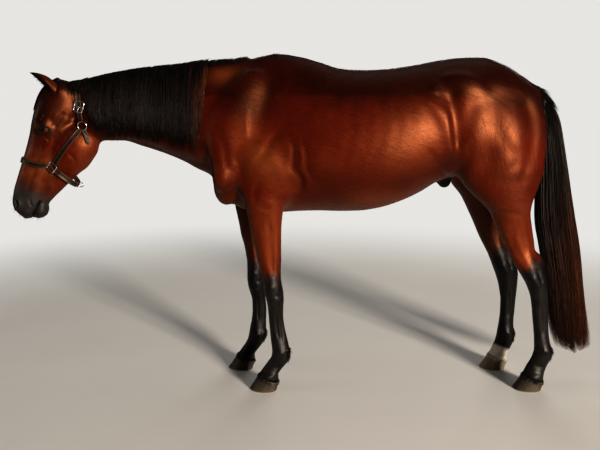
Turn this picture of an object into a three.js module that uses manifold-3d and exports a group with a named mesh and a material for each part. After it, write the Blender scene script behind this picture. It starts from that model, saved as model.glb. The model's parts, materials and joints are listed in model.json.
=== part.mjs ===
// A standing bay riding horse, life size, in a leather halter: a still model made of plain solids.
// Millimetres, +Z up. The horse looks along -X, its left side is -Y, and it stands on Z = 0.
//
// The body is a set of masses, each a smooth field that is negative inside. Masses melt into one another,
// and rays cast from a line inside the body find the skin. Planes then part the body into its regions.

import * as THREE from 'three';
import Module from 'manifold-3d';

const wasm = await Module();
wasm.setup();

// ---------------------------------------------------------------- driving dimensions

const GAP = 0.3;                                    // clearance between neighbouring solids
const BITE = 1;                                     // overlap of two solids that are joined
const DEEPER = 3;                                   // rays stop this far past a cut, which then trims them
const LEFT = -1;
const RIGHT = 1;
const STANCE = 140;                                 // middle of a hoof from the horse's mid-plane

const ELBOW_CUT = 828;                              // the fore legs leave the trunk just under the chest
const STIFLE_CUT = 1000;                            // the hind legs leave it at the stifle
const STIFLE_FRONT = 712;                           // the trunk's underside steps up to the stifle here
const STUMP = 110;                                  // how far a leg runs on into the trunk above its cut
const RING_STEP = 30;                               // least distance between two rings of a leg
const LEG_REACH = 215;                              // no leg is thicker than this from its middle line
const SHOULDER_LINE = [[-200, 1600], [-446, 1000]]; // neck to trunk, along the shoulder's front edge
const THROAT_LINE = [[-1012, 1480], [-928, 1140]];  // head to neck, behind the jaw

const HEAD = { poll: [-1085, 1435], along: [-0.3286, -0.9445], front: [-0.9445, 0.3286] };
const EYE = { down: 222, front: 15, side: 80, radius: 24 };

const HOOF = { height: 70, heelHeight: 36, foreHalf: 64, hindHalf: 59, coronetShare: 0.8 };

const STRAP = { width: 25, thick: 4, lift: 3 };    // halter leather, and its clearance over the coat
const RING = { wire: 3.2, lift: 4 };                // metal: radius of the wire, clearance over the coat
const MANE = { poll: -1000, withers: -424, thick: 12, crest: 9, clear: 3.5 };
const TAIL_PART = 1368;                             // fleshy dock above, hair below

// ---------------------------------------------------------------- colours

const finish = (color, roughness, metalness = 0) => new THREE.MeshStandardMaterial({
  color, roughness, metalness, flatShading: true,
});
const BAY = finish(0x6b2410, 0.45);
const BLACK_POINTS = finish(0x14100f, 0.5);
const BLACK_HAIR = finish(0x0d0b0b, 0.55);
const HORN = finish(0x4a423a, 0.6);
const EYE_DARK = finish(0x120b08, 0.08);
const LEATHER = finish(0x2b1a12, 0.55);
const STEEL = finish(0xc9c9c4, 0.25, 1);

// ---------------------------------------------------------------- masses

// A smooth curve through rows of (at, value) that never overshoots between them.
function curve(at, value) {
  const count = at.length;
  const rise = at.slice(1).map((next, i) => (value[i + 1] - value[i]) / (next - at[i]));
  const slope = value.map((_, i) => {
    if (i === 0) return rise[0];
    if (i === count - 1) return rise[count - 2];
    const before = rise[i - 1];
    const after = rise[i];
    return before * after <= 0 ? 0 : (2 * before * after) / (before + after);
  });
  return (x) => {
    let i = 0;
    while (i < count - 2 && x > at[i + 1]) i += 1;
    const span = at[i + 1] - at[i];
    const t = Math.min(Math.max((x - at[i]) / span, 0), 1);
    const t2 = t * t;
    const t3 = t2 * t;
    return (2 * t3 - 3 * t2 + 1) * value[i] + (t3 - 2 * t2 + t) * span * slope[i]
      + (3 * t2 - 2 * t3) * value[i + 1] + (t3 - t2) * span * slope[i + 1];
  };
}

// Where two masses meet, they melt over a band this wide.
function melt(a, b, band) {
  const share = Math.max(band - Math.abs(a - b), 0) / band;
  return Math.min(a, b) - (share * share * band) / 4;
}

function join(masses) {
  return (x, y, z) => {
    let depth = masses[0].field(x, y, z);
    for (let i = 1; i < masses.length; i += 1) depth = melt(depth, masses[i].field(x, y, z), masses[i].band);
    return depth;
  };
}

// A mass swept along a straight line in the horse's own plane. Rows hold: place along the line, low edge,
// high edge, half width, distance of the middle from the horse's mid-plane, height of the widest level as
// a share, and how square the section is above and below that level (2 is an ellipse).
function loft({ origin = [0, 0], along = [1, 0], across = [0, 1], side = 0, band = 40, rows }) {
  const at = rows.map((row) => row[0]);
  const column = (index, usual) => curve(at, rows.map((row) => row[index] ?? usual));
  const low = column(1);
  const high = column(2);
  const half = column(3);
  const out = column(4, 0);
  const level = column(5, 0.5);
  const roof = column(6, 2);
  const keel = column(7, 2);
  const first = at[0];
  const last = at[at.length - 1];
  const field = (x, y, z) => {
    const u = (x - origin[0]) * along[0] + (z - origin[1]) * along[1];
    const v = (x - origin[0]) * across[0] + (z - origin[1]) * across[1];
    const s = Math.min(Math.max(u, first), last);
    const middle = low(s) + (high(s) - low(s)) * level(s);
    const up = v - middle;
    const sideways = y - side * out(s);
    const reach = up > 0 ? high(s) - middle : middle - low(s);
    const power = up > 0 ? roof(s) : keel(s);
    const share = (Math.abs(up / reach) ** power + Math.abs(sideways / half(s)) ** power) ** (1 / power);
    const section = share > 1e-6 ? Math.hypot(up, sideways) * (1 - 1 / share) : -Math.min(reach, half(s));
    return Math.max(section, first - u, u - last);
  };
  return { field, band };
}

// A muscle or a bony lump: an ellipsoid between two points, the same on both sides of the horse.
function muscle({ from, to, wide, thick, band = 30 }) {
  const a = new THREE.Vector3(...from);
  const axis = new THREE.Vector3(...to).sub(a);
  const half = axis.length() / 2;
  const centre = a.clone().addScaledVector(axis, 0.5);
  axis.normalize();
  const outward = new THREE.Vector3(0, 1, 0).addScaledVector(axis, -axis.y).normalize();
  const edge = new THREE.Vector3().crossVectors(axis, outward);
  const point = new THREE.Vector3();
  const field = (x, y, z) => {
    point.set(x, Math.abs(y), z).sub(centre);
    const share = Math.hypot(point.dot(axis) / half, point.dot(edge) / wide, point.dot(outward) / thick);
    return share > 1e-6 ? point.length() * (1 - 1 / share) : -Math.min(half, wide, thick);
  };
  return { field, band };
}

// A place in the head's own frame: distance down the face from the poll, out to the front, and sideways.
const inHead = (down, front, side) => [
  HEAD.poll[0] + HEAD.along[0] * down + HEAD.front[0] * front,
  side,
  HEAD.poll[1] + HEAD.along[1] * down + HEAD.front[1] * front,
];

const trunkMasses = [
  loft({
    // from chest to dock: x, belly, back, half width, (middle), widest level, roof, keel
    rows: [
      [-390, 1000, 1300, 60],
      [-340, 900, 1460, 118, 0, 0.40, 1.7, 2.0],
      [-280, 852, 1535, 155, 0, 0.38, 1.6, 1.9],
      [-185, 834, 1562, 186, 0, 0.38, 1.5, 1.9],
      [-93, 834, 1577, 212, 0, 0.40, 1.45, 1.9],
      [0, 840, 1564, 240, 0, 0.42, 1.55, 2.0],
      [93, 843, 1539, 262, 0, 0.44, 1.75, 2.1],
      [186, 841, 1511, 277, 0, 0.46, 1.95, 2.1],
      [279, 843, 1504, 286, 0, 0.46, 2.1, 2.1],
      [372, 857, 1506, 289, 0, 0.46, 2.2, 2.1],
      [465, 886, 1516, 284, 0, 0.46, 2.2, 2.1],
      [557, 928, 1531, 272, 0, 0.46, 2.15, 2.1],
      [649, 983, 1548, 257, 0, 0.46, 2.1, 2.2],
      [742, 1008, 1559, 246, 0, 0.48, 2.05, 2.2],
      [834, 1015, 1561, 238, 0, 0.50, 2.0, 2.2],
      [928, 1020, 1534, 216, 0, 0.50, 2.0, 2.2],
      [1024, 1045, 1482, 172, 0, 0.50, 2.0, 2.2],
      [1080, 1100, 1445, 118, 0, 0.50, 2.0, 2.0],
      [1120, 1200, 1415, 50],
    ],
  }),
  muscle({ from: [-196, 84, 1500], to: [-366, 150, 1040], wide: 112, thick: 60, band: 50 }),    // scapula
  muscle({ from: [-262, 140, 1160], to: [-8, 158, 975], wide: 92, thick: 62, band: 45 }),       // triceps
  muscle({ from: [-322, 50, 1090], to: [-352, 52, 876], wide: 70, thick: 82, band: 40 }),       // breast
  muscle({ from: [-330, 130, 1110], to: [-366, 138, 950], wide: 52, thick: 52, band: 40 }),     // arm
  muscle({ from: [650, 184, 1446], to: [800, 210, 1390], wide: 50, thick: 32, band: 60 }),      // hip
  muscle({ from: [716, 92, 1476], to: [1066, 98, 1330], wide: 84, thick: 92, band: 50 }),       // gluteal
  muscle({ from: [1034, 100, 1418], to: [1044, 130, 965], wide: 84, thick: 84, band: 45 }),     // hamstring
  muscle({ from: [792, 158, 1380], to: [776, 160, 1000], wide: 72, thick: 88, band: 50 }),      // stifle
  muscle({ from: [900, 148, 1380], to: [922, 146, 960], wide: 132, thick: 108, band: 50 }),     // thigh
];

const neckMasses = [
  loft({
    band: 45,
    // from poll to withers: x, throat side, crest, half width, (middle), widest level, roof, keel
    rows: [
      [-1030, 1210, 1440, 52, 0, 0.45, 1.8, 2.0],
      [-985, 1186, 1458, 62, 0, 0.42, 1.7, 2.0],
      [-931, 1174, 1472, 67, 0, 0.40, 1.6, 2.0],
      [-837, 1174, 1490, 72, 0, 0.38, 1.5, 2.0],
      [-743, 1148, 1505, 82, 0, 0.38, 1.5, 2.0],
      [-650, 1118, 1515, 96, 0, 0.38, 1.5, 2.0],
      [-557, 1080, 1524, 113, 0, 0.39, 1.5, 2.0],
      [-476, 1037, 1538, 132, 0, 0.40, 1.5, 2.0],
      [-410, 1012, 1546, 146, 0, 0.41, 1.5, 2.0],
      [-260, 1000, 1554, 155, 0, 0.42, 1.5, 2.0],
    ],
  }),
];

const headLine = { origin: HEAD.poll, along: HEAD.along, across: HEAD.front };
const headMasses = [
  loft({
    ...headLine,
    band: 26,
    // skull and nose: distance down the face, inner edge, front edge, half width, (middle), level, powers
    rows: [
      [-16, -56, 38, 36, 0, 0.5, 2.0, 2.0],
      [12, -84, 68, 54, 0, 0.5, 2.0, 2.0],
      [60, -100, 97, 74, 0, 0.56, 2.1, 2.0],
      [110, -105, 107, 86, 0, 0.60, 2.3, 2.0],
      [160, -100, 109, 92, 0, 0.62, 2.3, 2.0],
      [215, -92, 107, 92, 0, 0.60, 2.2, 2.0],
      [270, -80, 104, 82, 0, 0.50, 2.1, 2.0],
      [330, -70, 103, 70, 0, 0.44, 2.1, 2.0],
      [400, -60, 104, 59, 0, 0.42, 2.1, 2.0],
      [470, -50, 106, 52, 0, 0.44, 2.1, 2.0],
      [540, -44, 107, 50, 0, 0.46, 2.1, 2.1],
      [590, -40, 101, 52, 0, 0.50, 2.2, 2.2],
      [625, -32, 88, 51, 0, 0.50, 2.2, 2.2],
      [650, -20, 66, 42, 0, 0.50, 2.1, 2.1],
      [664, -2, 42, 24],
      [669, 12, 28, 8],
    ],
  }),
  loft({
    ...headLine,
    band: 22,
    // lower jaw: distance down the face, lower edge, upper edge, half width
    rows: [
      [150, -186, -30, 44],
      [200, -218, -25, 60],
      [250, -222, -20, 71],
      [300, -211, -18, 73],
      [340, -197, -18, 67],
      [380, -170, -18, 58],
      [430, -142, -18, 46],
      [490, -110, -15, 37],
      [540, -84, -10, 32],
      [568, -73, -8, 32],
      [595, -79, -8, 36],
      [620, -77, -10, 36],
      [640, -62, -16, 29],
      [653, -44, -26, 12],
    ],
  }),
  muscle({ from: inHead(178, -92, 46), to: inHead(372, -96, 34), wide: 86, thick: 36, band: 24 }),  // cheek
  muscle({ from: inHead(172, 34, 76), to: inHead(262, 12, 76), wide: 32, thick: 26, band: 22 }),    // orbit
  muscle({ from: inHead(236, -4, 74), to: inHead(392, 6, 52), wide: 12, thick: 14, band: 18 }),   // cheekbone
  muscle({ from: inHead(566, 74, 28), to: inHead(646, 38, 32), wide: 26, thick: 26, band: 20 }),    // nostril
  muscle({ from: inHead(610, 30, 0), to: inHead(668, -2, 0), wide: 34, thick: 46, band: 18 }),    // upper lip
  muscle({ from: inHead(578, -50, 0), to: inHead(648, -44, 0), wide: 26, thick: 38, band: 16 }),  // lower lip
];

// Legs: height, front edge, rear edge, half width, middle from the mid-plane, widest level, rear, front.
const legRows = {
  fore_left: [
    [10, -225, -98, 50, 140],
    [36, -215, -100, 52, 140],
    [70, -198, -101, 50, 140],
    [90, -186, -90, 38, 140],
    [112, -171, -72, 32, 140],
    [138, -152, -53, 33, 140],
    [162, -138, -47, 38, 140],
    [188, -135, -47, 39, 140],
    [225, -139, -53, 34, 140, 0.45, 1.8, 2.0],
    [264, -143, -62, 29, 140, 0.42, 1.7, 2.0],
    [314, -147, -72, 28, 140, 0.40, 1.7, 2.0],
    [363, -151, -77, 31, 140, 0.42, 1.8, 2.0],
    [405, -155, -76, 38, 140, 0.45, 2.0, 2.2],
    [440, -161, -74, 47, 140, 0.45, 2.0, 2.5],
    [475, -168, -76, 50, 140, 0.42, 1.9, 2.6],
    [509, -171, -82, 49, 140, 0.45, 2.0, 2.4],
    [545, -180, -87, 45, 140],
    [581, -188, -87, 42, 140],
    [629, -201, -85, 43, 140],
    [701, -214, -85, 47, 140],
    [771, -232, -84, 51, 141],
    [842, -245, -78, 57, 142],
    [880, -252, -70, 61, 143],
    [916, -260, -54, 62, 143],
    [960, -272, -14, 60, 142],
    [1010, -280, -18, 54, 136],
    [1090, -270, -60, 40, 118],
  ],
  fore_right: [
    [10, -355, -230, 50, 140],
    [36, -345, -232, 52, 140],
    [70, -324, -232, 50, 140],
    [86, -313, -222, 39, 140],
    [105, -300, -207, 33, 140],
    [130, -283, -190, 33, 140],
    [155, -271, -178, 37, 140],
    [180, -265, -173, 39, 140],
    [215, -259, -172, 34, 140, 0.45, 1.8, 2.0],
    [255, -251, -172, 29, 140, 0.42, 1.7, 2.0],
    [303, -246, -170, 28, 140, 0.40, 1.7, 2.0],
    [357, -247, -173, 31, 140, 0.42, 1.8, 2.0],
    [400, -257, -176, 38, 140, 0.45, 2.0, 2.2],
    [436, -266, -177, 46, 140, 0.45, 2.0, 2.5],
    [475, -270, -178, 50, 140, 0.42, 1.9, 2.6],
    [509, -270, -180, 49, 140, 0.45, 2.0, 2.4],
    [552, -270, -178, 45, 140],
    [592, -275, -173, 42, 140],
    [644, -284, -168, 43, 140],
    [695, -298, -168, 46, 140],
    [747, -307, -166, 49, 141],
    [798, -317, -161, 53, 142],
    [842, -326, -152, 57, 143],
    [880, -330, -130, 60, 143],
    [916, -330, -95, 62, 142],
    [960, -326, -45, 60, 142],
    [1010, -310, -30, 54, 136],
    [1090, -280, -70, 40, 118],
  ],
  hind_left: [
    [10, 1034, 1164, 50, 140],
    [36, 1046, 1168, 51, 140],
    [70, 1066, 1170, 48, 140],
    [90, 1073, 1175, 38, 140],
    [114, 1083, 1184, 33, 140],
    [140, 1098, 1196, 34, 140],
    [168, 1110, 1203, 38, 140],
    [195, 1115, 1201, 39, 140],
    [235, 1113, 1190, 34, 140, 0.45, 1.8, 2.0],
    [280, 1108, 1183, 30, 140, 0.42, 1.7, 2.0],
    [338, 1100, 1178, 29, 140, 0.40, 1.7, 2.0],
    [400, 1092, 1174, 31, 140, 0.42, 1.8, 2.0],
    [451, 1083, 1170, 35, 140, 0.42, 1.8, 2.0],
    [509, 1061, 1164, 42, 140, 0.40, 1.8, 2.0],
    [557, 1033, 1157, 49, 139, 0.40, 1.6, 2.2],
    [600, 1004, 1150, 50, 138, 0.38, 1.5, 2.2],
    [632, 984, 1141, 48, 137, 0.36, 1.4, 2.1],
    [650, 975, 1128, 46, 136, 0.36, 1.4, 2.1],
    [677, 964, 1100, 47, 135, 0.38, 1.4, 2.1],
    [724, 938, 1090, 52, 133, 0.40, 1.5, 2.0],
    [795, 902, 1076, 64, 131, 0.44, 1.7, 2.0],
    [856, 872, 1066, 80, 131, 0.48, 1.9, 2.0],
    [893, 838, 1070, 92, 130],
    [944, 782, 1086, 104, 130],
    [1000, 738, 1100, 110, 131],
    [1037, 728, 1105, 110, 133],
    [1105, 745, 1090, 96, 134],
    [1180, 780, 1060, 64, 130],
  ],
  hind_right: [
    [10, 946, 1068, 50, 140],
    [36, 958, 1072, 51, 140],
    [70, 978, 1074, 48, 140],
    [90, 986, 1084, 38, 140],
    [115, 996, 1096, 34, 140],
    [142, 1007, 1105, 37, 140],
    [168, 1013, 1107, 39, 140],
    [205, 1018, 1104, 35, 140, 0.45, 1.8, 2.0],
    [250, 1023, 1102, 30, 140, 0.42, 1.7, 2.0],
    [300, 1026, 1104, 29, 140, 0.40, 1.7, 2.0],
    [357, 1025, 1106, 30, 140, 0.42, 1.8, 2.0],
    [405, 1018, 1109, 32, 140, 0.42, 1.8, 2.0],
    [450, 1008, 1111, 37, 140, 0.40, 1.8, 2.0],
    [490, 995, 1112, 43, 140, 0.40, 1.7, 2.1],
    [525, 981, 1106, 48, 139, 0.40, 1.6, 2.2],
    [560, 967, 1100, 50, 138, 0.38, 1.5, 2.2],
    [592, 953, 1092, 49, 137, 0.36, 1.4, 2.1],
    [625, 936, 1072, 47, 136, 0.36, 1.4, 2.1],
    [654, 920, 1048, 46, 135, 0.38, 1.4, 2.1],
    [685, 903, 1030, 48, 134, 0.40, 1.5, 2.0],
    [721, 886, 1024, 52, 133, 0.40, 1.5, 2.0],
    [770, 864, 1024, 60, 132, 0.44, 1.7, 2.0],
    [823, 838, 1030, 70, 131, 0.48, 1.9, 2.0],
    [860, 820, 1042, 80, 131],
    [899, 798, 1056, 92, 130],
    [969, 746, 1086, 107, 130],
    [1037, 728, 1104, 110, 133],
    [1105, 745, 1090, 96, 134],
    [1180, 780, 1060, 64, 130],
  ],
};

const LEGS = [
  { name: 'fore_left', side: LEFT, cut: ELBOW_CUT, toe: -240, heel: -110, half: HOOF.foreHalf },
  { name: 'fore_right', side: RIGHT, cut: ELBOW_CUT, toe: -369, heel: -243, half: HOOF.foreHalf },
  { name: 'hind_left', side: LEFT, cut: STIFLE_CUT, toe: 1024, heel: 1152, half: HOOF.hindHalf },
  { name: 'hind_right', side: RIGHT, cut: STIFLE_CUT, toe: 934, heel: 1058, half: HOOF.hindHalf },
];
const legMasses = LEGS.map(({ name, side }) => loft({
  along: [0, 1], across: [1, 0], side, band: 45, rows: legRows[name],
}));

const headField = join(headMasses);
const coatField = join([...trunkMasses, ...neckMasses, ...legMasses, { field: headField, band: 30 }]);

// ---------------------------------------------------------------- from fields to solids

// Distance from a point inside a field to its skin, along a ray.
function castRay(field, [x, y, z], [dx, dy, dz], reach) {
  const depth = (t) => field(x + dx * t, y + dy * t, z + dz * t);
  let inside = 0;
  let outside = 0;
  while (outside < reach) {
    const here = depth(outside);
    if (here >= 0) break;
    inside = outside;
    outside += Math.max(-here * 0.8, 1.5);
  }
  if (outside >= reach) return reach;
  for (let step = 0; step < 22; step += 1) {
    const middle = (inside + outside) / 2;
    if (depth(middle) < 0) inside = middle;
    else outside = middle;
  }
  return Math.max(inside, 0.5);
}

// Rings of rays from a line inside the body, with a dome of rays at each end. The line is a list of [x, z]
// at one distance from the mid-plane, or [x, z, share] where a ring sinks to a share of its size so that it
// ends inside its neighbour. Facing is the rings' normal in the horse's plane.
function castShell({ field, line, y = 0, facing, around, reach = 1000, domes = [3, 3] }) {
  const axis = [facing[0], 0, facing[1]];
  const up = [-facing[1], 0, facing[0]];
  const fans = [];
  const quarter = Math.PI / 2;
  for (let i = domes[0]; i > 0; i -= 1) fans.push({ at: line[0], tilt: (-quarter * i) / (domes[0] + 1) });
  for (const at of line) fans.push({ at, tilt: 0 });
  const end = line[line.length - 1];
  for (let i = 1; i <= domes[1]; i += 1) fans.push({ at: end, tilt: (quarter * i) / (domes[1] + 1) });
  const points = [];
  const shoot = (at, direction) => {
    const centre = [at[0], y, at[1]];
    const t = castRay(field, centre, direction, reach) * (at[2] ?? 1);
    points.push(centre.map((value, i) => value + direction[i] * t));
  };
  for (const { at, tilt } of fans) {
    for (let j = 0; j < around; j += 1) {
      const angle = (2 * Math.PI * j) / around;
      const flat = Math.cos(tilt);
      shoot(at, [0, 1, 2].map((i) => flat * Math.cos(angle) * up[i] + (i === 1 ? flat * Math.sin(angle) : 0)
        + Math.sin(tilt) * axis[i]));
    }
  }
  shoot(line[0], axis.map((value) => -value));
  shoot(end, axis);
  return ringSolid(points, fans.length, around);
}

// Rings of points and two poles, as one closed solid.
function ringSolid(points, rings, around) {
  const faces = [];
  const south = rings * around;
  const north = south + 1;
  for (let i = 0; i < rings - 1; i += 1) {
    for (let j = 0; j < around; j += 1) {
      const a = i * around + j;
      const b = i * around + ((j + 1) % around);
      faces.push([a, a + around, b], [b, a + around, b + around]);
    }
  }
  for (let j = 0; j < around; j += 1) {
    const next = (j + 1) % around;
    const last = (rings - 1) * around;
    faces.push([south, j, next], [north, last + next, last + j]);
  }
  return closedSolid(points, faces);
}

function closedSolid(points, faces) {
  const volume = faces.reduce((sum, [a, b, c]) => {
    const [p, q, r] = [points[a], points[b], points[c]];
    return sum + p[0] * (q[1] * r[2] - q[2] * r[1]) + p[1] * (q[2] * r[0] - q[0] * r[2])
      + p[2] * (q[0] * r[1] - q[1] * r[0]);
  }, 0);
  const outward = volume < 0 ? faces.map(([a, b, c]) => [a, c, b]) : faces;
  return new wasm.Manifold(new wasm.Mesh({
    numProp: 3,
    vertProperties: new Float32Array(points.flat()),
    triVerts: new Uint32Array(outward.flat()),
  }));
}

// The same solid with every corner moved out along the faces round it.
function grown(solid, distance) {
  const mesh = solid.getMesh();
  const geometry = new THREE.BufferGeometry();
  geometry.setAttribute('position', new THREE.BufferAttribute(new Float32Array(mesh.vertProperties), 3));
  geometry.setIndex(new THREE.BufferAttribute(new Uint32Array(mesh.triVerts), 1));
  geometry.computeVertexNormals();
  const place = geometry.attributes.position.array;
  const normal = geometry.attributes.normal.array;
  return new wasm.Manifold(new wasm.Mesh({
    numProp: 3,
    vertProperties: new Float32Array(place.map((value, i) => value + normal[i] * distance)),
    triVerts: new Uint32Array(mesh.triVerts),
  }));
}

// Square corners move out along their diagonal, so twice the gap leaves at least the gap at every face.
function clearOf(solid, ...others) {
  return others.reduce((rest, other) => rest.subtract(grown(other, 2 * GAP)), solid);
}

// The largest body of a solid, without slivers that a cut may leave beside it.
function largest(solid) {
  return solid.decompose().reduce((best, body) => (body.volume() > best.volume() ? body : best));
}

// A vertical plane through two [x, z] places, as a normal and an offset; the normal points to their left.
function planeThrough([from, to]) {
  const length = Math.hypot(to[0] - from[0], to[1] - from[1]);
  const normal = [-(to[1] - from[1]) / length, 0, (to[0] - from[0]) / length];
  return { normal, offset: normal[0] * from[0] + normal[2] * from[1] };
}

function keepSide(solid, plane, sign = 1) {
  const normal = plane.normal.map((value) => value * sign);
  return solid.trimByPlane(normal, plane.offset * sign + GAP / 2);
}

const FLAT = (height) => ({ normal: [0, 0, 1], offset: height });
const ACROSS = (x) => ({ normal: [1, 0, 0], offset: x });
const MID_PLANE = { normal: [0, 1, 0], offset: 0 };

const parts = new THREE.Group();

function addPart(name, solid, material) {
  const mesh = solid.getMesh();
  const geometry = new THREE.BufferGeometry();
  geometry.setAttribute('position', new THREE.BufferAttribute(new Float32Array(mesh.vertProperties), 3));
  geometry.setIndex(new THREE.BufferAttribute(new Uint32Array(mesh.triVerts), 1));
  geometry.computeVertexNormals();
  const part = new THREE.Mesh(geometry, material);
  part.name = name;
  parts.add(part);
  return solid;
}

// Even steps from one number to another, both ends included.
function steps(from, to, count) {
  return Array.from({ length: count }, (_, i) => from + ((to - from) * i) / (count - 1));
}

// ---------------------------------------------------------------- legs and hooves

// The coronet slopes from the front of the hoof down to its heels.
function coronetOf(rows) {
  const front = rows.find((row) => row[0] === HOOF.height)[1];
  const bulb = rows.find((row) => row[0] === HOOF.heelHeight)[2];
  return { front, bulb, plane: planeThrough([[front, HOOF.height], [bulb, HOOF.heelHeight]]) };
}

// A leg with a stump above its cut that sinks into the trunk.
function castLeg({ name, side, cut }) {
  const share = (height) => (height > cut + STUMP / 2 ? 0.55 : 1);
  const line = [];
  for (const [height, front, rear] of legRows[name]) {
    const below = line[line.length - 1] ?? [0, -RING_STEP];
    if (height < below[1] + RING_STEP || height > cut + STUMP) continue;
    line.push([front * 0.55 + rear * 0.45, height, share(height)]);
  }
  return castShell({
    field: coatField,
    line,
    y: side * STANCE,
    facing: [0, 1],
    around: 12,
    reach: LEG_REACH,
    domes: [0, 0],
  });
}

function hoofSolid({ side, toe, heel, half, front, bulb, plane }) {
  const around = 16;
  const levels = [0, 1];
  const outline = (nose, back, width, angle) => {
    const forward = -Math.cos(angle);
    const middle = back - (back - nose) * 0.46;
    const power = forward < 0 ? 1 : 0.78;
    const reach = forward < 0 ? middle - nose : back - middle;
    return [
      middle + reach * Math.sign(forward) * Math.abs(forward) ** power,
      width * Math.sign(Math.sin(angle)) * Math.abs(Math.sin(angle)) ** (forward < 0 ? 0.95 : 0.8),
    ];
  };
  const coronetHeight = (x) => (plane.offset - plane.normal[0] * x) / plane.normal[2];
  const points = [];
  for (const level of levels) {
    for (let j = 0; j < around; j += 1) {
      const angle = (2 * Math.PI * j) / around;
      const low = outline(toe, heel, half, angle);
      const high = outline(front, bulb, half * HOOF.coronetShare, angle);
      const x = low[0] + (high[0] - low[0]) * level;
      const y = low[1] + (high[1] - low[1]) * level;
      points.push([x, side * STANCE + y, coronetHeight(high[0]) * level]);
    }
  }
  const middle = (toe + heel) / 2;
  const top = (front + bulb) / 2;
  points.push([middle, side * STANCE, 0], [top, side * STANCE, coronetHeight(top)]);
  return keepSide(ringSolid(points, levels.length, around), plane, -1);
}

const legShells = LEGS.map((leg) => {
  const coronet = coronetOf(legRows[leg.name]);
  addPart(`hoof_${leg.name}`, hoofSolid({ ...leg, ...coronet }), HORN);
  let shell = keepSide(castLeg(leg), coronet.plane);
  if (leg.cut === STIFLE_CUT) shell = keepSide(shell, MID_PLANE, leg.side);
  let lower = keepSide(shell, FLAT(leg.cut), -1);
  if (leg.cut === STIFLE_CUT) lower = keepSide(lower, ACROSS(STIFLE_FRONT));
  addPart(`leg_${leg.name}`, largest(lower), BAY);
  return keepSide(shell, FLAT(leg.cut));
});

// ---------------------------------------------------------------- trunk, neck and head

const shoulderPlane = planeThrough(SHOULDER_LINE);
const throatPlane = planeThrough(THROAT_LINE);

const trunkField = (x, y, z) => Math.max(
  coatField(x, y, z),
  (x < STIFLE_FRONT ? ELBOW_CUT : STIFLE_CUT) - DEEPER - z,
);
const trunkShell = castShell({
  field: trunkField,
  line: [
    [-300, 1110], [-262, 1130], [-215, 1160], [-160, 1180], [-100, 1190], [-40, 1195], [30, 1195],
    [110, 1195], [200, 1190], [290, 1188], [380, 1192], [470, 1207], [550, 1225], [625, 1245],
    [695, 1265], [730, 1270], [790, 1275], [855, 1270], [915, 1262], [970, 1255], [1015, 1250],
  ],
  facing: [1, 0],
  around: 20,
  domes: [4, 3],
});
const barrel = keepSide(keepSide(trunkShell, ACROSS(STIFLE_FRONT), -1), FLAT(ELBOW_CUT));
const rump = keepSide(keepSide(trunkShell, ACROSS(STIFLE_FRONT - BITE)), FLAT(STIFLE_CUT));
const neckShell = castShell({
  field: coatField,
  line: [[-1016, 1325, 0.8], [-992, 1325, 0.93]]
    .concat(steps(-962, -170, 13).map((x) => [x, 1330 - (x + 1014) * 0.05])),
  facing: [1, 0],
  around: 18,
  reach: 420,
  domes: [0, 0],
});
const headShell = castShell({
  field: headField,
  line: [
    [20, -8], [50, -8], [85, -12], [120, -20], [155, -32], [190, -45], [225, -52], [260, -54], [295, -50],
    [335, -42], [375, -30], [420, -14], [470, 0], [520, 8], [560, 14], [595, 12], [622, 8],
  ].map(([down, front]) => inHead(down, front, 0)).map(([x, , z]) => [x, z]),
  facing: HEAD.along,
  around: 20,
  domes: [3, 3],
});

const trunkSolid = legShells.reduce((body, stump) => body.add(stump), barrel.add(rump));
const trunk = addPart('trunk', largest(keepSide(trunkSolid, shoulderPlane)), BAY);
const neck = addPart('neck', largest(keepSide(keepSide(neckShell, shoulderPlane, -1), throatPlane)), BAY);

// A lump with its own three radii, leaning in the horse's plane.
function ball([x, y, z], [rx, ry, rz], [around, bands], lean = 0) {
  const points = [];
  const place = (px, py, pz) => points.push([
    x + px * Math.cos(lean) + pz * Math.sin(lean), y + py, z - px * Math.sin(lean) + pz * Math.cos(lean),
  ]);
  for (let i = 1; i < bands; i += 1) {
    const polar = (Math.PI * i) / bands;
    for (let j = 0; j < around; j += 1) {
      const angle = (2 * Math.PI * j) / around;
      const ring = Math.sin(polar);
      place(rx * ring * Math.cos(angle), ry * Math.cos(polar), rz * ring * Math.sin(angle));
    }
  }
  place(0, ry, 0);
  place(0, -ry, 0);
  return ringSolid(points, bands - 1, around);
}

const HEAD_LEAN = Math.atan2(HEAD.along[0], HEAD.along[1]);
const eyeAt = (side) => inHead(EYE.down, EYE.front, side * EYE.side);
const mouth = ball(inHead(612, -26, 0), [2, 70, 44], [12, 4], HEAD_LEAN + 0.2);

let head = keepSide(headShell.add(keepSide(neckShell, throatPlane, -1)), throatPlane, -1).subtract(mouth);
for (const side of [LEFT, RIGHT]) {
  head = head.subtract(ball(inHead(606, 56, side * 60), [10, 16, 24], [10, 6], HEAD_LEAN - 0.35));
  head = head.subtract(ball(eyeAt(side), Array(3).fill(EYE.radius + GAP), [10, 6]));
}
head = addPart('head', largest(head), BAY);
for (const [name, side] of [['eye_left', LEFT], ['eye_right', RIGHT]]) {
  addPart(name, ball(eyeAt(side), Array(3).fill(EYE.radius), [10, 6]), EYE_DARK);
}

addPart('sheath', largest(clearOf(ball([688, 0, 988], [38, 29, 35], [8, 5]), trunk)), BLACK_POINTS);

// ---------------------------------------------------------------- sheets: ears, hair and straps

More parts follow.
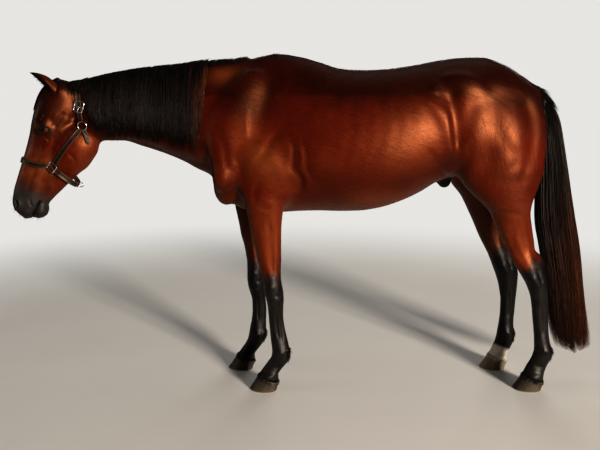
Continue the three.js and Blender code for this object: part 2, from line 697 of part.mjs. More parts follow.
// A closed sheet from two matching grids of points, its outer and its inner face.
function sheetSolid(outer, inner) {
  const rows = outer.length;
  const columns = outer[0].length;
  const points = [...outer.flat(), ...inner.flat()];
  const top = (i, j) => i * columns + j;
  const under = (i, j) => rows * columns + top(i, j);
  const faces = [];
  const quad = (a, b, c, d) => faces.push([a, b, c], [a, c, d]);
  for (let i = 0; i < rows - 1; i += 1) {
    for (let j = 0; j < columns - 1; j += 1) {
      quad(top(i, j), top(i + 1, j), top(i + 1, j + 1), top(i, j + 1));
      quad(under(i, j), under(i, j + 1), under(i + 1, j + 1), under(i + 1, j));
    }
    quad(top(i, 0), under(i, 0), under(i + 1, 0), top(i + 1, 0));
    quad(top(i, columns - 1), top(i + 1, columns - 1), under(i + 1, columns - 1), under(i, columns - 1));
  }
  for (let j = 0; j < columns - 1; j += 1) {
    quad(top(0, j), top(0, j + 1), under(0, j + 1), under(0, j));
    quad(top(rows - 1, j), under(rows - 1, j), under(rows - 1, j + 1), top(rows - 1, j + 1));
  }
  return closedSolid(points, faces);
}

const vector = ([x, y, z]) => new THREE.Vector3(x, y, z);

// Head, neck and trunk with the gap round them: whatever lies on the coat stays out of this.
const coatRoom = [head, neck, trunk].map((solid) => grown(solid, 2 * GAP)).reduce((a, b) => a.add(b));

// An ear is a cupped leaf that opens forwards and a little outwards.
function earSolid(side, base, tip) {
  const from = vector(inHead(base[0], base[1], side * base[2]));
  const axis = vector(inHead(tip[0], tip[1], side * tip[2])).sub(from);
  const length = axis.length();
  axis.normalize();
  const across = new THREE.Vector3(0, 1, 0).addScaledVector(axis, -axis.y).normalize();
  const opening = new THREE.Vector3().crossVectors(axis, across);
  if (opening.z > 0) opening.negate();
  const turn = 0.55 * side;
  const [towards, beside] = [
    opening.clone().multiplyScalar(Math.cos(turn)).addScaledVector(across, Math.sin(turn)),
    across.clone().multiplyScalar(Math.cos(turn)).addScaledVector(opening, -Math.sin(turn)),
  ];
  const leaf = curve([0, 0.2, 0.45, 0.75, 0.93, 1], [22, 27, 28, 19, 8, 2.5]);
  const wrap = curve([0, 0.3, 1], [2.5, 1.9, 1.2]);
  const face = (inset) => steps(0, 1, 6).map((u) => steps(-1, 1, 5).map((v) => {
    const angle = v * wrap(u);
    const radius = leaf(u) - inset * Math.min(1, leaf(u) / 12);
    return from.clone().addScaledVector(axis, u * length)
      .addScaledVector(towards, -6 * Math.sin(Math.PI * u) - radius * Math.cos(angle))
      .addScaledVector(beside, radius * Math.sin(angle)).toArray();
  }));
  return sheetSolid(face(0), face(4));
}

// The left ear stands up; the right one is held lower.
const [earLeft, earRight] = [
  ['ear_left', earSolid(LEFT, [44, 18, 50], [-1, 156, 70])],
  ['ear_right', earSolid(RIGHT, [46, 18, 50], [28, 152, 62])],
].map(([name, ear]) => addPart(name, largest(ear.subtract(coatRoom)), BAY));

// How far the skin reaches from a point, in a direction.
const skinFrom = (from, direction) => {
  const reach = castRay(coatField, from, direction, 400);
  return from.map((value, i) => value + direction[i] * reach);
};

// The mane falls from the crest to the left, straight down from the neck's widest level.
const maneEdge = curve([-1000, -949, -892, -800, -709, -618, -527, -482, -456, -437, -424],
  [1330, 1222, 1188, 1184, 1172, 1156, 1134, 1112, 1150, 1290, 1440]);
function maneSolid() {
  const levels = 6;
  const stations = steps(MANE.poll, MANE.withers, 11);
  const outer = [];
  const inner = [];
  for (const x of stations) {
    const crest = skinFrom([x, 0, 1400], [0, 0, 1])[2];
    const ends = Math.min((x - MANE.poll) / 60, (MANE.withers - x) / 40, 1);
    const swell = 0.35 + 0.65 * Math.sqrt(Math.max(ends, 0));
    outer.push([[x, 12, crest - 3], [x, -4, crest + MANE.crest * swell]]);
    inner.push([[x, 10, crest - 5], [x, 0, crest - 2]]);
    let fall = 0;
    for (let j = 1; j < levels; j += 1) {
      const share = (j / (levels - 1)) ** 1.5;
      const z = crest + (maneEdge(x) - crest) * share;
      fall = Math.max(fall, coatField(x, 0, z) < 0 ? -skinFrom([x, 0, z], [0, -1, 0])[1] : 0);
      const thick = MANE.thick * swell * (1 - 0.55 * share);
      inner[inner.length - 1].push([x, -fall - MANE.clear, z]);
      outer[outer.length - 1].push([x, -fall - MANE.clear - thick, z]);
    }
  }
  return sheetSolid(outer, inner);
}

// The forelock lies down the forehead from between the ears.
function forelockSolid() {
  const rows = steps(-6, 168, 7);
  const face = (lift) => rows.map((down) => steps(-1, 1, 4).map((v) => {
    const share = (down + 6) / 174;
    const half = 27 - 15 * share;
    const from = inHead(down < 20 ? 20 : down, 0, -6 * share + v * half);
    const to = inHead(down < 20 ? down - 26 : down, 60, 0);
    const away = vector(to).sub(vector(inHead(down < 20 ? 20 : down, 0, 0))).normalize().toArray();
    const skin = skinFrom(from, away);
    const rise = lift * (1 - 0.5 * share) * (1 - 0.45 * v * v);
    return skin.map((value, i) => value + away[i] * rise);
  }));
  return sheetSolid(face(14), face(2.5));
}

// The tail: height, front edge, rear edge, half width.
const tailRows = [
  [104, 1352, 1398, 8],
  [120, 1312, 1430, 26],
  [160, 1266, 1450, 42],
  [217, 1242, 1439, 54],
  [345, 1218, 1410, 64],
  [472, 1198, 1387, 70],
  [672, 1158, 1354, 74],
  [795, 1132, 1326, 74],
  [917, 1126, 1299, 70],
  [1155, 1122, 1250, 54],
  [1272, 1116, 1223, 42],
  [1340, 1104, 1194, 35],
  [1392, 1088, 1160, 31],
  [1428, 1062, 1122, 26],
];
const tailField = loft({ along: [0, 1], across: [1, 0], rows: tailRows }).field;
const tailShell = castShell({
  field: tailField,
  line: tailRows.slice(1, -1).map(([z, front, rear]) => [(front + rear) / 2, z]),
  facing: [0, 1],
  around: 12,
  domes: [1, 1],
});
const tail = clearOf(tailShell, trunk);
addPart('tail_dock', largest(keepSide(tail, FLAT(TAIL_PART))), BLACK_POINTS);
addPart('tail_hair', largest(keepSide(tail, FLAT(TAIL_PART), -1)), BLACK_HAIR);

// ---------------------------------------------------------------- halter

const outwardAt = (point) => {
  const step = 1;
  const [x, y, z] = point;
  return new THREE.Vector3(
    coatField(x + step, y, z) - coatField(x - step, y, z),
    coatField(x, y + step, z) - coatField(x, y - step, z),
    coatField(x, y, z + step) - coatField(x, y, z - step),
  ).normalize();
};

// A strap lies flat on the coat along a list of places on it.
function strapSolid(places, { width = STRAP.width, lift = STRAP.lift, outward = outwardAt } = {}) {
  const path = places.map(vector);
  const outer = [];
  const inner = [];
  path.forEach((place, i) => {
    const before = path[Math.max(i - 1, 0)];
    const after = path[Math.min(i + 1, path.length - 1)];
    const up = outward(place.toArray());
    const beside = new THREE.Vector3().crossVectors(after.clone().sub(before), up).normalize();
    const edge = (side, height) => place.clone().addScaledVector(beside, (side * width) / 2)
      .addScaledVector(up, height).toArray();
    outer.push([edge(-1, lift + STRAP.thick), edge(1, lift + STRAP.thick)]);
    inner.push([edge(-1, lift), edge(1, lift)]);
  });
  return sheetSolid(outer, inner);
}

// A metal ring lies flat against the coat; square sets how square its outline is.
function metalRing(place, [long, wide], turn, square = 2) {
  const around = 10;
  const sides = 4;
  const up = outwardAt(place);
  const down = vector([HEAD.along[0], 0, HEAD.along[1]]);
  down.addScaledVector(up, -down.dot(up)).normalize();
  const across = new THREE.Vector3().crossVectors(up, down);
  const bend = (value) => Math.sign(value) * Math.abs(value) ** (2 / square);
  const at = (angle) => {
    const [a, b] = [long * bend(Math.cos(angle)), wide * bend(Math.sin(angle))];
    return vector(place)
      .addScaledVector(down, a * Math.cos(turn) - b * Math.sin(turn))
      .addScaledVector(across, a * Math.sin(turn) + b * Math.cos(turn));
  };
  const angles = Array.from({ length: around }, (_, i) => (2 * Math.PI * (i + 0.5)) / around);
  const rise = Math.max(...angles.map((angle) => RING.lift + RING.wire - coatField(...at(angle).toArray())));
  const points = [];
  for (const angle of angles) {
    const forward = at(angle + 0.05).sub(at(angle - 0.05)).normalize();
    const beside = new THREE.Vector3().crossVectors(forward, up).normalize();
    for (let j = 0; j < sides; j += 1) {
      const spin = (2 * Math.PI * j) / sides;
      points.push(at(angle).addScaledVector(beside, RING.wire * Math.cos(spin))
        .addScaledVector(up, rise + RING.wire * Math.sin(spin)).toArray());
    }
  }
  const faces = [];
  for (let i = 0; i < around; i += 1) {
    for (let j = 0; j < sides; j += 1) {
      const [a, b] = [i * sides + j, i * sides + ((j + 1) % sides)];
      const [c, d] = [((i + 1) % around) * sides + j, ((i + 1) % around) * sides + ((j + 1) % sides)];
      faces.push([a, c, b], [b, c, d]);
    }
  }
  return closedSolid(points, faces);
}

// Places on the side of the head, and places round it from a point inside.
const onSide = (side, down, front) => skinFrom(inHead(down, front, 0), [0, side, 0]);
const roundHead = ([down, front], top, angle) => {
  const away = vector(inHead(...top, 0)).sub(vector(inHead(down, front, 0))).normalize();
  const direction = away.multiplyScalar(Math.cos(angle)).add(new THREE.Vector3(0, Math.sin(angle), 0));
  return skinFrom(inHead(down, front, 0), direction.toArray());
};

const HALTER = {
  sideRing: [382, -58], cheekRing: [152, -136], buckle: [74, -97], nose: [404, 105], crown: [-26, -46],
};
const degrees = Math.PI / 180;
const rings = {};
const straps = {};
for (const [word, side] of [['left', LEFT], ['right', RIGHT]]) {
  rings[`halter_side_ring_${word}`] = metalRing(onSide(side, ...HALTER.sideRing), [21, 21], 0.45 * side, 4);
  rings[`halter_cheek_ring_${word}`] = metalRing(onSide(side, ...HALTER.cheekRing), [21, 21], 0);
  straps[`halter_cheek_${word}`] = strapSolid(steps(0, 1, 6).map((t) => onSide(side,
    HALTER.cheekRing[0] + 25 + (HALTER.sideRing[0] - HALTER.cheekRing[0] - 50) * t,
    HALTER.cheekRing[1] + 8 + (HALTER.sideRing[1] - HALTER.cheekRing[1] - 16) * t)));
}
rings.halter_buckle = metalRing(onSide(LEFT, ...HALTER.buckle), [25, 21], 0.1, 4);
straps.halter_noseband = strapSolid(steps(-112, 112, 13).map((angle) => roundHead(
  [HALTER.nose[0] - 20 * Math.abs(angle / 112) ** 2, 0],
  [HALTER.nose[0] - 20 * Math.abs(angle / 112) ** 2, 60],
  angle * degrees,
)));
straps.halter_crown = strapSolid(steps(-141, 141, 12)
  .map((angle) => roundHead([72, -92], HALTER.crown, angle * degrees)));
straps.halter_strap_end = strapSolid(steps(0, 1, 4).map((t) => onSide(LEFT,
  HALTER.cheekRing[0] + 22 + 40 * t, HALTER.cheekRing[1] - 16 - 28 * t)), { width: 17 });
const jawAway = (place) => {
  const throat = vector(inHead(404, -70, 0));
  return vector(place).sub(throat).normalize();
};
straps.halter_chin = strapSolid(steps(12, 168, 11).map((angle) => {
  const drop = Math.sin(angle * degrees);
  return inHead(390 + 44 * drop, -74 - 104 * drop, -68 * Math.cos(angle * degrees));
}), { outward: jawAway, lift: 0 });

const halter = [];
for (const [name, ring] of Object.entries(rings)) halter.push(addPart(name, ring, STEEL));
for (const [name, strap] of Object.entries(straps)) {
  halter.push(addPart(name, largest(clearOf(strap.subtract(coatRoom), ...halter)), LEATHER));
}

addPart('mane', largest(clearOf(maneSolid().subtract(coatRoom), ...halter)), BLACK_HAIR);
const forelock = clearOf(forelockSolid().subtract(coatRoom), earLeft, earRight, ...halter);
addPart('forelock', largest(forelock), BLACK_HAIR);

// The nose and the tail's end stand equally far from the origin.
const box = new THREE.Box3().setFromObject(parts);
const centre = box.getCenter(new THREE.Vector3());
const horse = new THREE.Group();
parts.position.set(-centre.x, 0, 0);
horse.add(parts);

export default horse;
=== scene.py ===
"""A standing bay riding horse in a leather halter, life size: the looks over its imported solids.

Tables are in millimetres in the horse's own frame: it looks along -X, its left side is -Y, its soles are at
Z = 0. Finished meshes are in metres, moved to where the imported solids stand.
"""
import json
import math

import bmesh
import bpy
import numpy as np
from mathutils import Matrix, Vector

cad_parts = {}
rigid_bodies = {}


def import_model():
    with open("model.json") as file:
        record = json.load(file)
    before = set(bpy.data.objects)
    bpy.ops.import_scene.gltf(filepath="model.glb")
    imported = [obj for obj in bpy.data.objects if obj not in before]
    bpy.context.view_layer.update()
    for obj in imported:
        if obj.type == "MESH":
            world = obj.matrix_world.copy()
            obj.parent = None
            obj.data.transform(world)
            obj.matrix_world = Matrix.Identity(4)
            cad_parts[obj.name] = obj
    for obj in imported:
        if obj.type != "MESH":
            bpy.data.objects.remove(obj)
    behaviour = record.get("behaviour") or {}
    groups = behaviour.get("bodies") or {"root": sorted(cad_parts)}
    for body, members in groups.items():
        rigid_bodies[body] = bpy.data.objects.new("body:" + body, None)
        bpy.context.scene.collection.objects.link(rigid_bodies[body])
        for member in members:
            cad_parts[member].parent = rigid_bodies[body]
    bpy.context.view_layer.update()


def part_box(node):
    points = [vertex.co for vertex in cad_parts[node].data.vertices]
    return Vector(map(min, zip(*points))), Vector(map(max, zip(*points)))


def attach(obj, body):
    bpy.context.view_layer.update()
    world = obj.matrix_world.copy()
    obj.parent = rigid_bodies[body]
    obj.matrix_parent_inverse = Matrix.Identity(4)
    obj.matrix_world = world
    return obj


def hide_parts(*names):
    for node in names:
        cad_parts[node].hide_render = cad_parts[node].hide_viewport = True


for item in list(bpy.data.objects):
    bpy.data.objects.remove(item)

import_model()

MM = 0.001
LEFT, RIGHT = -1, 1
SIDES = {"left": LEFT, "right": RIGHT}
FAR_OUT = 1000.0

# ---------------------------------------------------------------- measures of the head

POLL = np.array([-1085.0, 1435.0])
ALONG = np.array([-0.3286, -0.9445])
FRONT = np.array([-0.9445, 0.3286])


def in_head(down, front, side=0.0):
    """A place in the head's own frame: down the face from the poll, out to the front, and sideways."""
    x, z = POLL + ALONG * down + FRONT * front
    return np.array([x, side, z], float)


def head_frame(points):
    """Distance down the face and out to the front, for many places."""
    flat = points[:, [0, 2]] - POLL
    return flat @ ALONG, flat @ FRONT


EYE_DOWN, EYE_FRONT, EYE_SIDE, EYE_RADIUS = 222, 15, 80, 24
EAR_ROOT, EAR_SIDE = (31, 10), 54
MUZZLE_DOWN, LIPS_DOWN = 548, 566
eye_box = np.array(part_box("eye_left"))
SHIFT = np.array([eye_box[:, 0].mean() / MM - in_head(EYE_DOWN, EYE_FRONT)[0], 0, 0])

# ---------------------------------------------------------------- camera and light


def aim(item, target):
    item.rotation_euler = (Vector(target) - Vector(item.location)).to_track_quat("-Z", "Y").to_euler()


LENS, SENSOR, CAMERA_AWAY, CAMERA_UP, CAMERA_TILT = 42.0, 36.0, 3.33, 1.346, 9.8
camera_data = bpy.data.cameras.new("camera")
camera_data.lens, camera_data.sensor_width = LENS, SENSOR
camera = bpy.data.objects.new("camera", camera_data)
camera.location = (SHIFT[0] * MM, -CAMERA_AWAY, CAMERA_UP)
camera.rotation_euler = (math.radians(90 - CAMERA_TILT), 0, 0)
bpy.context.collection.objects.link(camera)
bpy.context.scene.camera = camera


def soft_light(name, place, target, size, power, colour):
    data = bpy.data.lights.new(name, "AREA")
    data.shape = "RECTANGLE"
    data.size, data.size_y = size
    data.energy = power
    data.color = colour
    item = bpy.data.objects.new(name, data)
    item.location = place
    aim(item, target)
    bpy.context.collection.objects.link(item)


soft_light("key", (6.0, -8.85, 2.6), (0.1, 0, 0.95), (1.8, 1.5), 1580, (1.0, 0.91, 0.80))
soft_light("fill", (-6.0, -0.6, 1.9), (-0.4, 0, 0.9), (2.8, 2.2), 34, (1.0, 0.96, 0.92))
soft_light("top", (0.2, 1.6, 4.6), (0, 0, 0.6), (4.5, 3.0), 10, (1.0, 0.98, 0.95))
soft_light("back", (2.6, 8.6, 2.4), (0, 0, 1.1), (5.0, 3.0), 290, (1.0, 0.97, 0.92))

world = bpy.data.worlds.new("studio")
bpy.context.scene.world = world
world.use_nodes = True
sky = world.node_tree.nodes["Background"]
BACKDROP, BACKDROP_LEVEL, ROOM_LEVEL = (0.90, 0.89, 0.87), 0.64, 0.06
sky.inputs["Color"].default_value = (*BACKDROP, 1)
seen = world.node_tree.nodes.new("ShaderNodeLightPath").outputs["Is Camera Ray"]
glow = world.node_tree.nodes.new("ShaderNodeMapRange")
glow.inputs["To Min"].default_value, glow.inputs["To Max"].default_value = ROOM_LEVEL, BACKDROP_LEVEL
world.node_tree.links.new(seen, glow.inputs["Value"])
world.node_tree.links.new(glow.outputs["Result"], sky.inputs["Strength"])
bpy.context.scene.view_settings.view_transform = "Standard"
bpy.context.scene.view_settings.look = "High Contrast"

# ---------------------------------------------------------------- measures of the body

# x, belly, back, half width, (middle), widest level, roof, keel: the powers that say how square it is
TRUNK_ROWS = [
    [-390, 1000, 1300, 60], [-340, 900, 1460, 118, 0, 0.40, 1.7, 2.0],
    [-280, 852, 1535, 155, 0, 0.38, 1.6, 1.9], [-185, 834, 1562, 186, 0, 0.38, 1.5, 1.9],
    [-93, 834, 1577, 212, 0, 0.40, 1.45, 1.9], [0, 840, 1564, 240, 0, 0.42, 1.55, 2.0],
    [93, 843, 1539, 262, 0, 0.44, 1.75, 2.1], [186, 841, 1511, 277, 0, 0.46, 1.95, 2.1],
    [279, 843, 1504, 286, 0, 0.46, 2.1, 2.1], [372, 857, 1506, 289, 0, 0.46, 2.2, 2.1],
    [465, 886, 1516, 284, 0, 0.46, 2.2, 2.1], [557, 928, 1531, 272, 0, 0.46, 2.15, 2.1],
    [649, 983, 1548, 257, 0, 0.46, 2.1, 2.2], [742, 1008, 1559, 246, 0, 0.48, 2.05, 2.2],
    [834, 1015, 1561, 238, 0, 0.50, 2.0, 2.2], [928, 1020, 1534, 216, 0, 0.50, 2.0, 2.2],
    [1024, 1045, 1482, 172, 0, 0.50, 2.0, 2.2], [1080, 1100, 1445, 118, 0, 0.50, 2.0, 2.0],
    [1120, 1200, 1415, 50],
]
# x, throat side, crest, half width, (middle), widest level, roof, keel
NECK_ROWS = [
    [-1030, 1210, 1440, 52, 0, 0.45, 1.8, 2.0], [-985, 1186, 1458, 62, 0, 0.42, 1.7, 2.0],
    [-931, 1174, 1472, 67, 0, 0.40, 1.6, 2.0], [-837, 1174, 1490, 72, 0, 0.38, 1.5, 2.0],
    [-743, 1148, 1505, 82, 0, 0.38, 1.5, 2.0], [-650, 1118, 1515, 96, 0, 0.38, 1.5, 2.0],
    [-557, 1080, 1524, 113, 0, 0.39, 1.5, 2.0], [-476, 1037, 1538, 132, 0, 0.40, 1.5, 2.0],
    [-410, 1012, 1546, 146, 0, 0.41, 1.5, 2.0], [-260, 1000, 1554, 155, 0, 0.42, 1.5, 2.0],
]
# distance down the face, inner edge, front edge, half width, (middle), widest level, powers
SKULL_ROWS = [
    [-16, -56, 38, 36, 0, 0.5, 2.0, 2.0], [12, -84, 68, 54, 0, 0.5, 2.0, 2.0],
    [60, -100, 97, 74, 0, 0.56, 2.1, 2.0], [110, -105, 107, 86, 0, 0.60, 2.3, 2.0],
    [160, -100, 109, 92, 0, 0.62, 2.3, 2.0], [215, -92, 107, 92, 0, 0.60, 2.2, 2.0],
    [270, -80, 104, 82, 0, 0.50, 2.1, 2.0], [330, -70, 103, 70, 0, 0.44, 2.1, 2.0],
    [400, -60, 104, 59, 0, 0.42, 2.1, 2.0], [470, -50, 106, 52, 0, 0.44, 2.1, 2.0],
    [540, -44, 107, 50, 0, 0.46, 2.1, 2.1], [590, -40, 101, 52, 0, 0.50, 2.2, 2.2],
    [625, -32, 88, 51, 0, 0.50, 2.2, 2.2], [650, -20, 66, 42, 0, 0.50, 2.1, 2.1], [664, -2, 42, 24],
    [669, 12, 28, 8],
]
# distance down the face, lower edge, upper edge, half width
JAW_ROWS = [
    [150, -186, -30, 44], [200, -218, -25, 60], [250, -222, -20, 71], [300, -211, -18, 73],
    [340, -197, -18, 67], [380, -170, -18, 58], [430, -142, -18, 46], [490, -110, -15, 37],
    [540, -84, -10, 32], [568, -73, -8, 32], [595, -79, -8, 36], [620, -77, -10, 36], [640, -62, -16, 29],
    [653, -44, -26, 12],
]
LEG_OUT, LEG_TOP, HOCK_TOP = 140, 900, 575
GIRTH = 300   # the forehand lies before it, the quarters behind it
# height, front edge, rear edge, half width, (middle from the mid-plane), widest level, rear, front
LEG_ROWS = {
    "fore_left": [
        [10, -225, -98, 50], [36, -215, -100, 52], [70, -198, -101, 50], [90, -186, -90, 38],
        [112, -171, -72, 32], [138, -152, -53, 33], [162, -138, -47, 38], [188, -135, -47, 39],
        [225, -139, -53, 34, 140, 0.45, 1.8, 2.0], [264, -143, -62, 29, 140, 0.42, 1.7, 2.0],
        [314, -147, -72, 28, 140, 0.40, 1.7, 2.0], [363, -151, -77, 31, 140, 0.42, 1.8, 2.0],
        [405, -155, -76, 38, 140, 0.45, 2.0, 2.2], [440, -161, -74, 47, 140, 0.45, 2.0, 2.5],
        [475, -168, -76, 50, 140, 0.42, 1.9, 2.6], [509, -171, -82, 49, 140, 0.45, 2.0, 2.4],
        [545, -180, -87, 45], [581, -188, -87, 42], [629, -201, -85, 43], [701, -214, -85, 47],
        [771, -232, -84, 51, 141], [842, -245, -78, 57, 142], [880, -252, -70, 61, 143],
        [916, -260, -54, 62, 143], [960, -272, -14, 60, 142], [1010, -280, -18, 54, 136],
        [1090, -270, -60, 40, 118],
    ],
    "fore_right": [
        [10, -355, -230, 50], [36, -345, -232, 52], [70, -324, -232, 50], [86, -313, -222, 39],
        [105, -300, -207, 33], [130, -283, -190, 33], [155, -271, -178, 37], [180, -265, -173, 39],
        [215, -259, -172, 34, 140, 0.45, 1.8, 2.0], [255, -251, -172, 29, 140, 0.42, 1.7, 2.0],
        [303, -246, -170, 28, 140, 0.40, 1.7, 2.0], [357, -247, -173, 31, 140, 0.42, 1.8, 2.0],
        [400, -257, -176, 38, 140, 0.45, 2.0, 2.2], [436, -266, -177, 46, 140, 0.45, 2.0, 2.5],
        [475, -270, -178, 50, 140, 0.42, 1.9, 2.6], [509, -270, -180, 49, 140, 0.45, 2.0, 2.4],
        [552, -270, -178, 45], [592, -275, -173, 42], [644, -284, -168, 43], [695, -298, -168, 46],
        [747, -307, -166, 49, 141], [798, -317, -161, 53, 142], [842, -326, -152, 57, 143],
        [880, -330, -130, 60, 143], [916, -330, -95, 62, 142], [960, -326, -45, 60, 142],
        [1010, -310, -30, 54, 136], [1090, -280, -70, 40, 118],
    ],
    "hind_left": [
        [10, 1034, 1164, 50], [36, 1046, 1168, 51], [70, 1066, 1170, 48], [90, 1073, 1175, 38],
        [114, 1083, 1184, 33], [140, 1098, 1196, 34], [168, 1110, 1203, 38], [195, 1115, 1201, 39],
        [235, 1113, 1190, 34, 140, 0.45, 1.8, 2.0], [280, 1108, 1183, 30, 140, 0.42, 1.7, 2.0],
        [338, 1100, 1178, 29, 140, 0.40, 1.7, 2.0], [400, 1092, 1174, 31, 140, 0.42, 1.8, 2.0],
        [451, 1083, 1170, 35, 140, 0.42, 1.8, 2.0], [509, 1061, 1164, 42, 140, 0.40, 1.8, 2.0],
        [557, 1033, 1157, 49, 139, 0.40, 1.6, 2.2], [600, 1004, 1150, 50, 138, 0.38, 1.5, 2.2],
        [632, 984, 1141, 48, 137, 0.36, 1.4, 2.1], [650, 975, 1128, 46, 136, 0.36, 1.4, 2.1],
        [677, 964, 1100, 47, 135, 0.38, 1.4, 2.1], [724, 938, 1090, 52, 133, 0.40, 1.5, 2.0],
        [795, 902, 1076, 64, 131, 0.44, 1.7, 2.0], [856, 872, 1066, 80, 131, 0.48, 1.9, 2.0],
        [893, 838, 1070, 92, 130], [944, 782, 1086, 104, 130], [1000, 738, 1100, 110, 131],
        [1037, 728, 1105, 110, 133], [1105, 745, 1090, 96, 134], [1180, 780, 1060, 64, 130],
    ],
    "hind_right": [
        [10, 946, 1068, 50], [36, 958, 1072, 51], [70, 978, 1074, 48], [90, 986, 1084, 38],
        [115, 996, 1096, 34], [142, 1007, 1105, 37], [168, 1013, 1107, 39],
        [205, 1018, 1104, 35, 140, 0.45, 1.8, 2.0], [250, 1023, 1102, 30, 140, 0.42, 1.7, 2.0],
        [300, 1026, 1104, 29, 140, 0.40, 1.7, 2.0], [357, 1025, 1106, 30, 140, 0.42, 1.8, 2.0],
        [405, 1018, 1109, 32, 140, 0.42, 1.8, 2.0], [450, 1008, 1111, 37, 140, 0.40, 1.8, 2.0],
        [490, 995, 1112, 43, 140, 0.40, 1.7, 2.1], [525, 981, 1106, 48, 139, 0.40, 1.6, 2.2],
        [560, 967, 1100, 50, 138, 0.38, 1.5, 2.2], [592, 953, 1092, 49, 137, 0.36, 1.4, 2.1],
        [625, 936, 1072, 47, 136, 0.36, 1.4, 2.1], [654, 920, 1048, 46, 135, 0.38, 1.4, 2.1],
        [685, 903, 1030, 48, 134, 0.40, 1.5, 2.0], [721, 886, 1024, 52, 133, 0.40, 1.5, 2.0],
        [770, 864, 1024, 60, 132, 0.44, 1.7, 2.0], [823, 838, 1030, 70, 131, 0.48, 1.9, 2.0],
        [860, 820, 1042, 80, 131], [899, 798, 1056, 92, 130], [969, 746, 1086, 107, 130],
        [1037, 728, 1104, 110, 133], [1105, 745, 1090, 96, 134], [1180, 780, 1060, 64, 130],
    ],
}
# height, front edge, rear edge, half width
TAIL_ROWS = [
    [104, 1352, 1398, 8], [120, 1312, 1430, 26], [160, 1266, 1450, 42], [217, 1242, 1439, 54],
    [345, 1218, 1410, 64], [472, 1198, 1387, 70], [672, 1158, 1354, 74], [795, 1132, 1326, 74],
    [917, 1126, 1299, 70], [1155, 1122, 1250, 54], [1272, 1116, 1223, 42], [1340, 1104, 1194, 35],
    [1392, 1088, 1160, 31], [1428, 1062, 1122, 26],
]

# ---------------------------------------------------------------- masses: the body as melted forms


def smooth(low, high, value):
    t = np.clip((np.asarray(value, float) - low) / (high - low), 0, 1)
    return t * t * (3 - 2 * t)


def hill(*terms):
    """1 where every term is 0, falling off softly all round."""
    return np.exp(-sum(term ** 2 for term in terms))


def unit(vector):
    vector = np.asarray(vector, float)
    return vector / np.maximum(np.linalg.norm(vector, axis=-1, keepdims=True), 1e-9)


class Curve:
    """Smooth curves through rows of (place, values) that never overshoot between them."""

    def __init__(self, at, values):
        self.at = np.array(at, float)
        self.values = np.array(values, float).reshape(len(at), -1)
        rise = np.diff(self.values, axis=0) / np.diff(self.at)[:, None]
        before, after = rise[:-1], rise[1:]
        total = np.where(before + after, before + after, 1)
        bend = np.where(before * after > 0, 2 * before * after / total, 0)
        self.slope = np.vstack([rise[:1], bend, rise[-1:]])

    def __call__(self, x):
        x = np.asarray(x, float)
        i = np.clip(np.searchsorted(self.at, x) - 1, 0, len(self.at) - 2)
        span = (self.at[i + 1] - self.at[i])[..., None]
        t = np.clip((x - self.at[i])[..., None] / span, 0, 1)
        t2, t3 = t * t, t * t * t
        out = ((2 * t3 - 3 * t2 + 1) * self.values[i] + (t3 - 2 * t2 + t) * span * self.slope[i]
               + (3 * t2 - 2 * t3) * self.values[i + 1] + (t3 - t2) * span * self.slope[i + 1])
        return out[..., 0] if self.values.shape[1] == 1 else out


class Loft:
    """A mass swept along a straight line in the horse's own plane, negative inside."""

    def __init__(self, rows, origin=(0, 0), along=(1, 0), across=(0, 1), side=0, band=40, out=0):
        usual = [0, 0, 0, out, 0.5, 2.0, 2.0]   # what a short row leaves out
        full = np.array([list(row[1:]) + usual[len(row) - 1:] for row in rows], float)
        self.ends = rows[0][0], rows[-1][0]
        self.section = Curve([row[0] for row in rows], full)
        self.origin, self.along, self.across = np.array(origin, float), np.array(along), np.array(across)
        self.side, self.band = side, band
        self.low, self.high = full[:, 0].min(), full[:, 1].max()
        self.widest = full[:, 2].max() + np.abs(full[:, 3]).max()

    def measured(self, points):
        flat = points[:, [0, 2]] - self.origin
        return flat @ self.along, flat @ self.across

    def near(self, points):
        u, v = self.measured(points)
        room = self.band + 6
        inside = (u > self.ends[0] - room) & (u < self.ends[1] + room)
        inside &= (v > self.low - room) & (v < self.high + room)
        y = points[:, 1] * self.side if self.side else np.abs(points[:, 1])
        return inside & (y < self.widest + room) & (y > -room * 2 if self.side else True)

    def field(self, points):
        u, v = self.measured(points)
        low, high, half, out, level, roof, keel = self.section(np.clip(u, *self.ends)).T
        middle = low + (high - low) * level
        up = v - middle
        sideways = points[:, 1] - self.side * out
        reach = np.where(up > 0, high - middle, middle - low)
        power = np.where(up > 0, roof, keel)
        share = (np.abs(up / reach) ** power + np.abs(sideways / half) ** power) ** (1 / power)
        share = np.maximum(share, 1e-6)
        section = np.hypot(up, sideways) * (1 - 1 / share)
        return np.maximum(section, np.maximum(self.ends[0] - u, u - self.ends[1]))


class Lump:
    """A muscle or bony lump: an ellipsoid between two points, the same on both sides."""

    def __init__(self, start, end, wide, thick, band=30):
        start, end = np.array(start, float), np.array(end, float)
        self.centre, axis = (start + end) / 2, end - start
        half = np.linalg.norm(axis) / 2
        axis /= 2 * half
        outward = np.array([0, 1, 0]) - axis * axis[1]
        outward /= np.linalg.norm(outward)
        self.frame = np.stack([axis, np.cross(axis, outward), outward], 1)
        self.radii = np.array([half, wide, thick])
        self.band = band

    def measured(self, points):
        place = points.copy()
        place[:, 1] = np.abs(place[:, 1])
        return place - self.centre

    def near(self, points):
        return np.linalg.norm(self.measured(points), axis=1) < self.radii.max() + self.band + 6

    def field(self, points):
        place = self.measured(points) @ self.frame
        share = np.maximum(np.linalg.norm(place / self.radii, axis=1), 1e-6)
        return np.linalg.norm(place, axis=1) * (1 - 1 / share)


